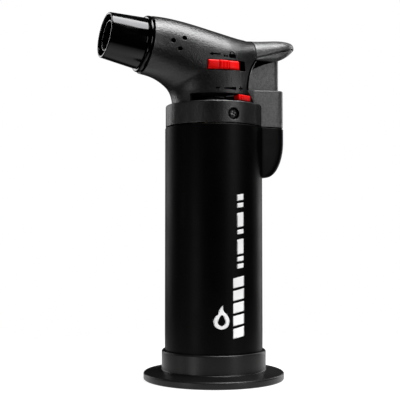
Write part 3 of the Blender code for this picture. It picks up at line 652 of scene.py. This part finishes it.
def head_width(x, z):
    """Half width of the head's outer surface at a point of its side view."""
    angle = math.degrees(math.atan2(z - NECK_Z, x - PIVOT_X))
    distance = math.hypot(z - NECK_Z, x - PIVOT_X)
    middle, reach, width, power = section_terms(angle)
    share = (distance - middle) / reach
    side = max(1.0 - abs(share) ** (2.0 / power), 0.0) ** (power / 2.0)
    return width * side * rear_taper(x, z)


def ring_sector(inner, outer, low, high, start, end):
    """A block bent round the Z axis, between two angles from -Y towards +X."""
    steps = max(2, int(abs(end - start) / 2.0))
    corners = ((inner, low), (outer, low), (outer, high), (inner, high))
    return loft_mesh([[round_axis(r, math.radians(angle), z) for r, z in corners]
                      for angle in spaced(start, end, steps + 1)])


def prism_y(outline, low, high):
    """An outline in X and Z, drawn out along Y."""
    return loft_mesh([[(x, y, z) for x, z in outline] for y in (low, high)])


# ---- foot and body

def build_stand():
    profile = rounded([
        (0.0, 0.0), (FOOT_RADIUS - 0.3, 0.0, 0.25), (FOOT_RADIUS, 0.3, 0.25),
        (FOOT_RADIUS, FOOT_RIM + 0.3, 0.35), (FOOT_RADIUS - 0.5, FOOT_RIM + 0.7, 0.3),
        (SOCKET_RADIUS + 0.2, FOOT_RIM + 1.7, 0.15), (SOCKET_RADIUS, FOOT_RIM + 2.0, 0.15),
        (SOCKET_RADIUS, SOCKET_TOP - 0.45, 0.4), (SOCKET_RADIUS - 0.4, SOCKET_TOP, 0.35),
        (BODY_RADIUS + GAP, SOCKET_TOP, 0.2), (BODY_RADIUS + GAP, FLOOR_TOP, 0.4),
        (0.0, FLOOR_TOP),
    ], 0.3, 6)
    add_piece("foot_and_socket", turned_mesh(profile, 192), FOOT_GREY, "stand",
              ["stand"], 40.0)


def build_body_shell():
    """The painted tube with its rounded foot, open at the top, and the bulge behind."""
    sides = 240
    port_radius = 8.0  # the opening for the filling valve
    rows = [(BODY_BOTTOM, port_radius), (BODY_BOTTOM, BODY_RADIUS - 0.8),
            (BODY_BOTTOM + 0.12, BODY_RADIUS - 0.38), (BODY_BOTTOM + 0.38, BODY_RADIUS - 0.12),
            (BODY_BOTTOM + 0.8, BODY_RADIUS)]
    rows += [(height, BODY_RADIUS) for height in (20.0, 40.0, 60.0, 78.0)]
    rings = [polar_ring(radius, 0.0, 0.0, 0.0, height, sides) for height, radius in rows]
    heights = [BULGE_FOOT + (BULGE_FULL - BULGE_FOOT) * (i / 40.0) ** 1.8 for i in range(41)]
    insets = [(height, 0.0) for height in heights + [99.0, BODY_TOP - 0.5]]
    insets += [(BODY_TOP - 0.22, 0.06), (BODY_TOP - 0.06, 0.2), (BODY_TOP, 0.4)]
    for height, inset in insets:
        rings.append(polar_ring(BODY_RADIUS - inset, BULGE_HALF - inset,
                                bulge_rear(height) - inset, BULGE_CORNER, height, sides))
    shell = add_piece("soft_touch_sleeve", loft_mesh(rings, closed_ends=False), SOFT_BLACK,
                      "torch", ["body_shell"], 50.0)
    thicken(shell, THIN_WALL)
    finish_shading(shell, 40.0)


# ---- the head

def half_skin(side):
    """One half of the outer surface of the head and its collar."""
    columns = 72
    sweep = 90.0 + SEAM_ANGLE  # degrees round from the front, up to the rear cover
    corner = 0.6
    ledge = NECK_Z + 0.02
    collar = [(COLLAR_RADIUS - inset, COLLAR_BOTTOM + rise, sweep)
              for inset, rise in ((0.25, 0.0), (0.05, 0.12), (0.0, 0.35))]
    collar += [(COLLAR_RADIUS, z, sweep) for z in spaced(103.6, 110.2, 7)]
    for turn in spaced(0.0, 90.0, 6):
        c, s = math.cos(math.radians(turn)), math.sin(math.radians(turn))
        collar.append((COLLAR_RADIUS - corner + corner * c, NECK_Z - corner + corner * s,
                       sweep - 1.0 - 2.0 * s))
    collar += [(COLLAR_RADIUS - 1.8, ledge, sweep - 6.0), (NECK_RADIUS + 0.35, ledge, sweep - 9.0)]
    rows = []
    for radius, height, reach in collar:
        turns = [math.radians(reach * i / columns) for i in range(columns + 1)]
        rows.append([(-radius * math.cos(a), radius * math.sin(a), height) for a in turns])
    angles = [0.35, 0.9, 1.6] + spaced(2.5, FRONT_ANGLE, 92)
    rows += [head_section(angle, columns) for angle in angles]
    work = bmesh.new()
    grid = [[work.verts.new((x, side * max(y, SEAM), z)) for x, y, z in row] for row in rows]
    for low, high in zip(grid, grid[1:]):
        for i in range(len(low) - 1):
            work.faces.new((low[i], low[i + 1], high[i + 1], high[i]))
    bmesh.ops.remove_doubles(work, verts=work.verts, dist=0.004)
    work.normal_update()
    inside = Vector((0.0, 0.0, 122.0))  # a point within the neck
    outwards = sum(f.normal.dot(f.calc_center_median() - inside) for f in work.faces)
    if outwards < 0.0:
        bmesh.ops.reverse_faces(work, faces=work.faces)
    return work


def build_head(label, side):
    """One head shell, with its screw boss, air holes and, on the left, both slots."""
    shell = add_piece(label + "_head_shell", half_skin(side), CHARCOAL, "torch",
                      ["head_shell_" + label])
    thicken(shell, WALL)

    def across(x, z, low_y, high_y, radius, sides=32):
        return rod_mesh((x, side * low_y, z), (x, side * high_y, z), radius, sides)

    boolean(shell, across(0.0, SCREW_Z, BOSS_INNER, BOSS_OUTER, BOSS_RADIUS, 48), "UNION")
    boolean(shell, across(0.0, SCREW_Z, BOSS_INNER - 2.0, OUTSIDE, SCREW_HOLE_RADIUS))
    boolean(shell, across(0.0, SCREW_Z, RECESS_FLOOR, OUTSIDE, RECESS_RADIUS, 64))
    for x, z in AIR_HOLES:
        boolean(shell, across(x, z, 4.0, OUTSIDE, AIR_HOLE_RADIUS, 40))
    if side < 0.0:
        boolean(shell, ring_sector(SLOT_INNER, SLOT_OUTER, SLOT_LOW, SLOT_HIGH, SLOT_START,
                                   SLOT_END))
        low_x, high_x = SLIDER_FRONT - GAP, SLIDER_REAR + SLIDER_TRAVEL + GAP
        low_z, high_z = SLIDER_LOW - GAP, SLIDER_HIGH + GAP
        outline = rounded_box(low_x, high_x, low_z, high_z, 0.45, 5)
        boolean(shell, prism_y(outline, -OUTSIDE, -8.0))
    finish_shading(shell, 30.0)


# ---- the nozzle

def nozzle_piece(name, node, profile, material, steps=160):
    """A piece turned about the nozzle's axis."""
    work = moved(turned_mesh(profile, steps), on_nozzle_matrix())
    add_piece(name, work, material, "torch", [node], 40.0)


def build_nozzle():
    cone_end = RING_FRONT - 0.3
    slope = (GUARD_REAR_RADIUS - MOUTH_RADIUS) / (cone_end - 0.5)
    guard = rounded([
        (MOUTH_RADIUS - 1.0, 0.35, 0.2), (MOUTH_RADIUS - 0.75, 0.04, 0.18),
        (MOUTH_RADIUS - 0.12, 0.04, 0.25), (MOUTH_RADIUS, 0.55, 0.3),
        (MOUTH_RADIUS + slope * 6.0, 6.5, 0.0), (GUARD_REAR_RADIUS, cone_end, 0.25),
        (SPIGOT_RADIUS, cone_end, 0.1), (SPIGOT_RADIUS, SPIGOT_END, 0.2),
        (SPIGOT_BORE, SPIGOT_END, 0.2), (SPIGOT_BORE, cone_end - 1.0, 0.4),
        (MOUTH_RADIUS - 1.0, 2.0, 0.4),
    ], 0.2, 5, True)
    nozzle_piece("flame_guard", "nozzle_guard", guard, BLACK_CHROME)
    ring = rounded([
        (RING_INNER, RING_FRONT, 0.1), (RING_RADIUS - 0.35, RING_FRONT, 0.35),
        (RING_RADIUS, RING_FRONT + 0.75, 0.4), (RING_RADIUS, RING_REAR - 0.55, 0.4),
        (RING_RADIUS - 0.35, RING_REAR, 0.3), (RING_INNER, RING_REAR, 0.1),
    ], 0.3, 6, True)
    nozzle_piece("guard_bead", "nozzle_ring", ring, BLACK_CHROME)
    inner = TUBE_RADIUS - 0.5
    tube = rounded([
        (inner, TUBE_FRONT, 0.12), (TUBE_RADIUS, TUBE_FRONT, 0.18), (TUBE_RADIUS, TUBE_STEP, 0.4),
        (FLANGE_RADIUS, TUBE_STEP, 0.2), (FLANGE_RADIUS, TUBE_END, 0.2), (inner, TUBE_END, 0.2),
    ], 0.15, 4, True)
    nozzle_piece("inner_burner_tube", "burner_tube", tube, STEEL, 128)


# ---- trigger and rear cover

def pad_terms(x):
    """Half width, top, crease and bottom of the thumb pad at X."""
    share = (x - PAD_FRONT) / (PAD_TIP - PAD_FRONT)
    bow = max((x - PAD_BOW_X) / (PAD_TIP + 0.03 - PAD_BOW_X), 0.0)
    half = PAD_HALF * math.sqrt(max(1.0 - bow * bow, 0.0))
    top = TOP_REAR_Z + 0.1 + smooth_step((x - 14.5) / 15.0) - PAD_DROOP * share ** 12
    crease = CREASE_Z + CREASE_SLOPE * (x - PAD_FRONT)
    bottom = min(PAD_BOTTOM_Z + 0.102 * max(x - PAD_CURL_X, 0.0) ** 1.65, crease - 0.2)
    return half, top, crease, bottom


def pad_section(x):
    """Cross-section of the thumb pad: a domed top, a crease, and a rolled lower edge."""
    half, top, crease, bottom = pad_terms(x)
    roll = max(min(1.0, half / 3.0, (crease - bottom) / 1.3), 0.05)
    side = [(0.0, top)]
    dome = 22
    for i in range(1, dome + 1):
        turn = math.radians(88.0 * i / dome)
        side.append((half * math.sin(turn) ** 0.85, mix(crease, top, math.cos(turn) ** 0.85)))
    groove = ((0.1, 0.02), (1.1, 0.12), (1.15, 0.62), (0.3, 0.78))  # inwards and down
    side += [(half - inwards * roll, crease - down * roll) for inwards, down in groove]
    lip, lip_height = side[-1]
    drop = max(lip_height - bottom, 0.05)
    steps = 9
    for i in range(1, steps + 1):
        turn = math.radians(90.0 * i / steps)
        swell = 0.38 * roll * math.sin(math.pi * i / steps)
        side.append((lip + swell - 1.6 * roll * (1.0 - math.cos(turn)),
                     bottom + drop * (1.0 - math.sin(turn))))
    side += [(half * share, bottom) for share in (0.6, 0.3)]
    mirrored = [(-y, z) for y, z in reversed(side[1:])]
    return [(x, y, z) for y, z in side + [(0.0, bottom)] + mirrored]


def skirt_outline(front, rear, half, corner, height, segments=12):
    """A rectangle with its two rear corners rounded."""
    right = [(front, half, height)]
    for i in range(segments + 1):
        turn = math.radians(90.0 * i / segments)
        right.append((rear - corner + corner * math.sin(turn),
                      half - corner + corner * math.cos(turn), height))
    return [(x, -y, z) for x, y, z in right] + right[::-1]


def build_trigger():
    """The thumb pad, its hollow skirt with the igniter's cup and a lug for the gas lever, and
    the dark wedges on the skirt under the pad, a painted shadow."""
    stations = [1.0 - (1.0 - s) ** 1.9 for s in spaced(0.0, 1.0, 46)]
    rings = [pad_section(mix(PAD_FRONT, PAD_TIP, s)) for s in stations]
    rings[-1] = [(PAD_TIP, y * 0.5, z) for _, y, z in rings[-1]]
    trigger = add_piece("thumb_trigger", loft_mesh(rings), TRIGGER_GREY, "trigger",
                        ["trigger"])
    skirt = loft_mesh([skirt_outline(SKIRT_FRONT, SKIRT_REAR, SKIRT_HALF, SKIRT_CORNER, z)
                       for z in spaced(SKIRT_BOTTOM, SKIRT_TOP, 13)])
    inner = loft_mesh([
        skirt_outline(SKIRT_FRONT - 4.0, SKIRT_REAR - SKIRT_WALL, SKIRT_HALF - SKIRT_WALL,
                      SKIRT_CORNER - SKIRT_WALL, z)
        for z in (SKIRT_BOTTOM - 1.0, SKIRT_TOP - SKIRT_WALL)
    ])
    cup = rod_mesh((IGNITER_X, 0.0, CUP_LOW), (IGNITER_X, 0.0, CUP_HIGH), CUP_RADIUS)
    lug = block_mesh((11.5, -9.0, 121.2), (13.2, 9.0, 131.2))
    boolean(trigger, skirt, "UNION")
    boolean(trigger, inner)
    for work in (cup, lug):
        boolean(trigger, work, "UNION")
    finish_shading(trigger, 28.0)
    # Painted shadow: thin dark wedges on the skirt's sides, where the pad's shadow falls
    outline = ((11.2, 124.9), (14.0, 126.8), (18.0, 128.6), (22.5, 130.0), (22.5, 130.4),
               (12.4, 130.4), (11.2, 128.0))
    for label, side in SIDES:
        low, high = sorted((side * (SKIRT_HALF - 0.3), side * (SKIRT_HALF + 0.12)))
        add_piece("pad_shadow_" + label, prism_y(outline, low, high), DARK_PRINT_AND_SHADE, "trigger",
                  ["trigger"])


def cover_rings(inset, heights):
    """Plan outlines of the cover, with its top sloped."""
    rings = []
    for height in heights:
        radius = mix(COLLAR_RADIUS, NECK_RADIUS + 0.1,
                     smooth_step((height - (NECK_Z - COVER_BLEND)) / COVER_BLEND))
        ring = polar_ring(radius - inset, COVER_HALF - inset, COVER_REAR - inset,
                          BULGE_CORNER - inset * 0.5, height, 240)
        share = max(height - NECK_Z, 0.0) / (COVER_TOP - NECK_Z)
        rings.append([(x, y, z - share * COVER_SLOPE * (COVER_REAR - x)) for x, y, z in ring])
    return rings


def arch_rib(side, offset, width):
    """A rib that follows the head's rear edge, this far behind it."""
    rings = []
    low = SKIRT_HALF + 0.4
    for height in spaced(RIB_LOW, RIB_HIGH, 40):
        x = rear_edge(height) + offset
        high = max(low + 0.5, head_width(x, height) - 0.45)
        outline = rounded_box(x, x + width, low, high, 0.15, 3)
        rings.append([(a, side * b, height) for a, b in outline])
    return loft_mesh(rings)


def build_rear_cover():
    """The saddle behind the neck that the trigger's skirt slides in."""
    heights = [COLLAR_BOTTOM + 0.3] + spaced(104.0, NECK_Z - COVER_BLEND, 6)
    heights += spaced(NECK_Z - 1.2, NECK_Z, 8) + spaced(NECK_Z + 1.0, COVER_TOP - 0.6, 5)
    rings = []
    for inset, levels in ((0.22, [COLLAR_BOTTOM]), (0.05, [COLLAR_BOTTOM + 0.1]), (0.0, heights),
                          (0.06, [COVER_TOP - 0.28]), (0.22, [COVER_TOP - 0.08]),
                          (0.5, [COVER_TOP])):
        rings += cover_rings(inset, levels)
    cover = add_piece("trigger_housing", loft_mesh(rings), TRIGGER_GREY, "torch",
                      ["rear_cover"])
    hollow = [COLLAR_BOTTOM - 1.0] + spaced(NECK_Z - COVER_BLEND, NECK_Z, 8)
    boolean(cover, loft_mesh(cover_rings(THIN_WALL, hollow + [COVER_TOP - THIN_WALL])))
    below, above, in_front, aside = 95.0, 125.0, -40.0, 30.0  # all clear of the cover
    boolean(cover, loft_mesh([
        skirt_outline(in_front, SKIRT_REAR + SLIDE_GAP, SKIRT_HALF + SLIDE_GAP,
                      SKIRT_CORNER + 0.1, z) for z in (below, above)
    ]))
    seam_x = COLLAR_RADIUS * math.sin(math.radians(SEAM_ANGLE)) + 0.22
    arc_foot = rear_edge(NECK_Z)
    boolean(cover, prism_y([
        (in_front, below), (seam_x, below), (seam_x, NECK_Z - 0.3), (seam_x - 0.9, NECK_Z + GAP),
        (arc_foot + GAP + 1.1, NECK_Z + GAP + 0.1), (EDGE_FOOT_X + GAP, EDGE_FOOT_Z),
        (EDGE_FOOT_X + GAP, above), (in_front, above),
    ], -aside, aside))
    for label, side in SIDES:
        boolean(cover, arch_rib(side, 1.0, 0.45), "UNION")
        # Painted shade: a dark strip in the gap between the head's rear edge and the rib
        add_piece("arch_gap_shade_" + label, arch_rib(side, 0.12, 0.9), DARK_PRINT_AND_SHADE, "torch",
                  ["rear_cover"])
    finish_shading(cover, 30.0)


# ---- slider, lever, screws

def side_block(x_values, z_low, z_high, inner, outers, round_off):
    """A block on the head's left side. outers gives its height off the surface at each X."""
    rings = []
    rows = spaced(0.0, 1.0, 9)
    for x, outer in zip(x_values, outers):
        ring = []
        for share in rows:
            z = mix(z_low, z_high, share)
            drop = edge_drop(min(share, 1.0 - share) * (z_high - z_low), round_off)
            ring.append((x, -(head_width(x, z) + outer - drop), z))
        for share in reversed(rows):
            z = mix(z_low, z_high, share)
            ring.append((x, -(head_width(x, z) + inner), z))
        rings.append(ring)
    return loft_mesh(rings)


def slider_height(x):
    """Height of the lock slider off the head: a block, a ridged band, and a lower block."""
    if x < BAND_FRONT:
        base = FRONT_BLOCK
    elif x < BAND_REAR:
        base = BAND
        for ridge in RIDGES:
            base += 0.24 * math.exp(-((x - ridge) / 0.4) ** 2)
    else:
        base = REAR_BLOCK
    for end in (SLIDER_FRONT, SLIDER_REAR):
        near = abs(x - end)
        if near < 0.35:
            base -= 0.3 * (1.0 - near / 0.35) ** 2
    for step in (BAND_FRONT, BAND_REAR):
        base -= 0.16 * math.exp(-((x - step) / 0.12) ** 2)
    return base


def build_lock_slider():
    """The red button, and the flange that holds it inside the shell."""
    x_values = spaced(SLIDER_FRONT, SLIDER_REAR, 143)
    work = side_block(x_values, SLIDER_LOW, SLIDER_HIGH, SLIDER_INNER,
                      [slider_height(x) for x in x_values], 0.35)
    slider = add_piece("lock_slider_button", work, RED, "lock_slider",
                       ["lock_slider"], 60.0)
    flange_x = spaced(SLIDER_FRONT - 1.2, SLIDER_REAR + 0.6, 30)
    flange = side_block(flange_x, SLIDER_LOW - FLANGE_EDGE, SLIDER_HIGH + FLANGE_EDGE,
                        FLANGE_INNER, [FLANGE_OUTER] * len(flange_x), 0.01)
    boolean(slider, flange, "UNION")
    finish_shading(slider, 50.0)


def build_flame_lever():
    """A hub and arm made black as painted shade, the red tip on its end, and a dark sheet
    inside, above the slot, that is painted shade too.
    """
    low, high = LEVER_LOW, LEVER_HIGH
    outline = rounded_box(HUB_INNER, HUB_OUTER, low, high, 0.2, 3)
    # Painted shade: the hub and arm are black so that the slot looks dark; only the tip is red
    hub = add_piece("flame_lever_hub", turned_mesh(outline, 96), RUBBER_AND_SHADE, "flame_lever")
    arm = ring_sector(HUB_OUTER - 0.5, TIP_INNER - 0.05, low + 0.2, high - 0.2, ARM_START, ARM_END)
    boolean(hub, arm, "UNION")
    finish_shading(hub, 35.0)
    rib_pitch = 3.2  # degrees
    rings = []
    for angle in spaced(TIP_START, TIP_END, 46):
        near = min(angle - TIP_START, TIP_END - angle) * math.radians(1.0) * 17.9
        pull = edge_drop(near, 0.5)
        rib = 0.12 * math.cos((angle - 22.0) * math.tau / rib_pitch) if near > 0.8 else 0.0
        outer = TIP_OUTER - pull + rib
        outline = rounded_box(TIP_INNER, outer, low + pull * 0.4, high - pull * 0.4, 0.4)
        rings.append([round_axis(r, math.radians(angle), z) for r, z in outline])
    add_piece("flame_lever_tip", loft_mesh(rings), RED, "flame_lever",
              ["flame_lever"], 35.0)
    # Painted shade: a dark sheet above the slot, inside the neck, that hides the lit parts behind
    # it
    shade = ring_sector(7.4, 15.3, SLOT_HIGH + 0.06, SLOT_HIGH + 0.26, -78.0, ARM_START)
    add_piece("slot_shade", shade, RUBBER_AND_SHADE, "torch", (), 20.0)


def build_screws():
    """Two domed screws with a cross recess, in the collar's sides."""
    head_radius, shank_radius, neck, tip = 2.05, 1.3, 1.3, 7.4
    arm, half_slot, depth = 1.3, 0.27, 0.85
    profile = rounded([
        (0.0, -0.12), (1.2, -0.05, 0.5), (2.0, 0.35, 0.4), (head_radius, neck, 0.1),
        (shank_radius, neck, 0.1), (shank_radius, tip - 0.8, 0.3), (0.0, tip),
    ], 0.1, 4)
    for label, side in SIDES:
        place = Matrix.Translation(Vector((0.0, side * SCREW_HEAD_Y, SCREW_Z)))
        turn = place @ Matrix.Rotation(math.radians(90.0 * side), 4, "X")
        screw = add_piece(label + "_screw", moved(turned_mesh(profile, 64), turn), DARK_SCREW,
                          "torch", ["collar_screw_" + label])
        tilt = place @ Matrix.Rotation(math.radians(18.0), 4, "Y")
        for wide, tall in ((arm, half_slot), (half_slot, arm)):
            cut = block_mesh((-wide, -depth, -tall), (wide, depth, tall))
            boolean(screw, moved(cut, tilt))
        finish_shading(screw, 30.0)


# ---- marks

def mark(name, shapes, place, material, grid=0.5):
    """Flat shapes laid on a surface. A shape is its outline and any holes, as (u, v) points in
    millimetres, and place gives the point on the surface."""
    work = bmesh.new()
    for loops in shapes:
        flat = [point for loop in loops for point in loop]
        verts = [work.verts.new((u, v, 0.0)) for u, v in flat]
        corners = [[Vector((u, v, 0.0)) for u, v in loop] for loop in loops]
        for triple in tessellate_polygon(corners):
            work.faces.new([verts[i] for i in triple])
    for axis in (0, 1):
        values = [vert.co[axis] for vert in work.verts]
        line = math.floor(min(values) / grid) * grid
        normal = Vector((1.0 - axis, axis, 0.0))
        while line < max(values):
            bmesh.ops.bisect_plane(work, geom=work.verts[:] + work.edges[:] + work.faces[:],
                                   plane_co=normal * line, plane_no=normal)
            line += grid
    for vert in work.verts:
        vert.co = place(vert.co.x, vert.co.y)
    bmesh.ops.recalc_face_normals(work, faces=work.faces)
    obj = add_piece(name, work, material, "torch", (), 60.0)
    shell = obj.modifiers.new("ink", "SOLIDIFY")
    shell.thickness = INK_THICKNESS * MM
    shell.offset = 0.0


def on_body(u, v):
    """u runs round the body towards +X from -Y, and v is the height."""
    return Vector(round_axis(BODY_RADIUS + INK_LIFT, u / BODY_RADIUS, v))


def on_head(x, z):
    """The point of the head's left side at X and Z, lifted off along the surface's normal."""
    step = 0.25
    width = head_width(x, z)
    slope_x = (head_width(x + step, z) - head_width(x - step, z)) / (2.0 * step)
    slope_z = (head_width(x, z + step) - head_width(x, z - step)) / (2.0 * step)
    normal = Vector((-slope_x, -1.0, -slope_z)).normalized()
    return Vector((x, -width, z)) + normal * INK_LIFT


def curve_points(points, steps):
    """A closed smooth outline through the given points."""
    count = len(points)
    path = []
    for i in range(count):
        a, b, c, d = (Vector(points[(i + k) % count]) for k in (-1, 0, 1, 2))
        for k in range(steps):
            t = k / steps
            path.append(tuple(0.5 * (2 * b + (c - a) * t + (2 * a - 5 * b + 4 * c - d) * t * t
                                     + (3 * b - a - 3 * c + d) * t ** 3)))
    return path


def flame_sign(u, v, size):
    """A flame with a drop-shaped opening."""
    outer = curve_points([
        (0.0, -1.0), (0.52, -0.82), (0.7, -0.3), (0.5, 0.2), (0.18, 0.55), (0.1, 1.0),
        (-0.22, 0.62), (-0.3, 0.28), (-0.52, 0.1), (-0.7, -0.35), (-0.5, -0.82),
    ], 6)
    drop = curve_points([
        (0.0, -0.72), (0.3, -0.52), (0.3, -0.2), (0.05, 0.22), (-0.22, -0.12), (-0.3, -0.5),
    ], 6)
    return [[(u + a * size, v + b * size) for a, b in loop] for loop in (outer, drop[::-1])]


def padlock(left, right, low, high):
    """The body of a padlock, and its shackle."""
    middle, foot, rise = (left + right) / 2.0, high + 0.05, high + 0.3
    outer, inner = 1.0, 0.6

    def arc(radius, turns):
        return [(middle - radius * math.cos(math.radians(a)),
                 rise + radius * math.sin(math.radians(a))) for a in turns]

    shackle = [(middle - outer, foot)] + arc(outer, range(0, 181, 15))
    shackle += [(middle + outer, foot), (middle + inner, foot)]
    shackle += arc(inner, range(180, -1, -15)) + [(middle - inner, foot)]
    return [[rounded_box(left, right, low, high, 0.15, 2)], [shackle]]


def build_marks():
    """The print on the body, and the signs by the lock slider and the flame lever."""
    blocks = [[rounded_box(-0.6, 4.4, 18.0 + 4.9 * i, 21.9 + 4.9 * i, 0.35, slant=1.0)]
              for i in range(5)]
    lines = [[rounded_box(1.1, 4.2, low, high, 0.4, slant=0.5)]
             for low, high in ((45.2, 47.0), (48.0, 49.8), (50.8, 56.6), (58.6, 60.4),
                               (61.4, 67.0), (69.0, 70.8), (71.8, 74.2))]
    mark("white_print", [flame_sign(-5.3, 26.4, 4.6)] + blocks + lines, on_body, WHITE_INK)
    arrow = [(-8.4, 130.3), (-6.9, 129.6), (-6.9, 130.0), (-3.6, 130.0), (-3.6, 130.6),
             (-6.9, 130.6), (-6.9, 131.0)]
    dots = [[rounded_box(u, u + 0.7, 129.4, 130.1)] for u in (-2.4, -1.3)]
    mark("lock_marks", [[arrow]] + padlock(-0.1, 2.9, 129.1, 130.7) + dots, on_head, DARK_PRINT_AND_SHADE,
         0.4)
    minus = rounded_box(-5.9, -4.4, 116.45, 117.0, 0.1)
    plus = [(3.5, 116.5), (4.1, 116.5), (4.1, 115.9), (4.65, 115.9), (4.65, 116.5),
            (5.25, 116.5), (5.25, 117.05), (4.65, 117.05), (4.65, 117.65), (4.1, 117.65),
            (4.1, 117.05), (3.5, 117.05)]
    wedge = [(-2.8, 116.5), (2.2, 116.0), (2.2, 117.35), (-2.8, 116.85)]
    mark("flame_marks", [[minus], [plus], [wedge]], on_head, DARK_PRINT_AND_SHADE, 0.4)


# ---- carried-over nodes

def dress_nodes():
    """New materials for the CAD nodes that are kept as they are."""
    finishes = {
        NATURAL: ("fuel_tank", "tank_lid", "piezo_body", "piezo_plunger"),
        BRASS: ("fill_valve_body", "fill_valve_stem", "outlet_valve_body", "valve_stem",
                "regulator_nut", "burner_disc", "mixing_tube", "jet_holder"),
        BRIGHT_STEEL: ("fill_valve_spring", "valve_spring", "piezo_spring", "electrode"),
        DARK_SCREW: ("gas_lever", "gas_lever_pin"),
        RUBBER_AND_SHADE: ("fill_valve_seal", "valve_o_ring", "gas_hose", "ignition_lead"),
        CERAMIC: ("gas_filter", "electrode_insulator"),
    }
    for material, names in finishes.items():
        for name in names:
            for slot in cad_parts[name].material_slots:
                slot.material = material


# ---- studio

CAMERA_AZIMUTH, CAMERA_DISTANCE, CAMERA_HEIGHT = -24.0, 360.0, 58.45
CAMERA_YAW, CAMERA_PITCH = 0.892, 2.296
LENS, SENSOR = 78.57, 36.0

# Name, azimuth, elevation, distance, width and height in metres, radiance, and the height in
# millimetres that it is aimed at
SOFTBOXES = (
    ("top_softbox", 72.0, 71.0, 0.7, 0.42, 0.46, 19.0, 130.0),
    ("left_strip", -76.0, 2.0, 0.8, 0.1, 0.3, 2.2, 60.0),
    ("right_fill", 47.0, 8.0, 0.9, 0.2, 0.4, 8.0, 95.0),
    ("foot_strip", -42.0, 1.0, 0.5, 0.1, 0.08, 12.0, 12.0),
    ("left_rim", -134.0, 8.0, 0.9, 0.24, 0.5, 3.2, 120.0),
    ("right_rim", 140.0, 10.0, 0.9, 0.3, 0.7, 3.0, 100.0),
)
FLOOR_RADIUS = 200.0
FLOOR_FADE = (0.045, 0.17)  # metres from the axis: solid up to the first, clear past the second


def build_camera():
    turn = math.radians(-CAMERA_AZIMUTH)
    ahead = Vector((math.sin(turn), math.cos(turn), 0.0))
    right = Vector((math.cos(turn), -math.sin(turn), 0.0))
    yaw, pitch = math.radians(CAMERA_YAW), math.radians(CAMERA_PITCH)
    level = ahead * math.cos(yaw) - right * math.sin(yaw)
    look = level * math.cos(pitch) + Vector((0.0, 0.0, 1.0)) * math.sin(pitch)
    data = bpy.data.cameras.new("camera")
    data.lens = LENS
    data.sensor_width = SENSOR
    data.clip_start = 0.01
    data.clip_end = 20.0
    camera = new_object("camera", data)
    camera.location = (-ahead * CAMERA_DISTANCE + Vector((0.0, 0.0, CAMERA_HEIGHT))) * MM
    camera.rotation_euler = look.to_track_quat("-Z", "Y").to_euler()
    bpy.context.scene.camera = camera


def softbox(name, azimuth, elevation, distance, width, height, radiance, aim):
    """An area light. Azimuth is from the camera's side, towards the camera's right."""
    turn = math.radians(azimuth + CAMERA_AZIMUTH)
    rise = math.radians(elevation)
    target = Vector((0.0, 0.0, aim * MM))
    out = Vector(round_axis(math.cos(rise), turn, math.sin(rise)))
    data = bpy.data.lights.new(name, "AREA")
    data.shape = "RECTANGLE"
    data.size, data.size_y = width, height
    data.energy = radiance * math.pi * width * height
    light = new_object(name, data)
    light.location = target + out * distance
    light.rotation_euler = out.to_track_quat("Z", "Y").to_euler()


def build_floor():
    """A pale disc that gives off light of its own and fades out towards its edge."""
    work = bmesh.new()
    bmesh.ops.create_circle(work, cap_ends=True, segments=96, radius=FLOOR_RADIUS)
    floor = raw_object("floor", work)
    floor.location.z = -0.0002
    n = Nodes("pale_floor")
    n.fill(n.shader, Base_Color=(*grey(0.3), 1.0), Roughness=0.9,
           Emission_Color=(*grey(1.0), 1.0), Emission_Strength=0.9)
    distance = n.add("ShaderNodeVectorMath", operation="LENGTH")
    n.link(n.coordinates, distance.inputs[0])
    n.link(n.spread(distance.outputs["Value"], 1.0, 0.0, *FLOOR_FADE), n.shader.inputs["Alpha"])
    floor.data.materials.append(n.material)


def build_world():
    """White where the camera sees it, and nearly dark as a source of light."""
    world = bpy.data.worlds.new("studio")
    world.use_nodes = True
    bpy.context.scene.world = world
    tree = world.node_tree
    tree.nodes.clear()
    output = tree.nodes.new("ShaderNodeOutputWorld")
    path = tree.nodes.new("ShaderNodeLightPath")
    choose = tree.nodes.new("ShaderNodeMixShader")
    tree.links.new(path.outputs["Is Camera Ray"], choose.inputs["Fac"])
    for place, strength in ((1, 0.02), (2, 1.0)):
        background = tree.nodes.new("ShaderNodeBackground")
        Nodes.fill(background, Color=(*grey(1.0), 1.0), Strength=strength)
        tree.links.new(background.outputs["Background"], choose.inputs[place])
    tree.links.new(choose.outputs["Shader"], output.inputs["Surface"])


def build_studio():
    build_floor()
    build_world()
    for values in SOFTBOXES:
        softbox(*values)
    bpy.context.scene.view_settings.view_transform = "Standard"
    bpy.context.scene.view_settings.look = "None"


build_camera()
build_stand()
build_body_shell()
for label, side in SIDES:
    build_head(label, side)
build_nozzle()
build_trigger()
build_rear_cover()
build_lock_slider()
build_flame_lever()
build_screws()
build_marks()
dress_nodes()
build_studio()
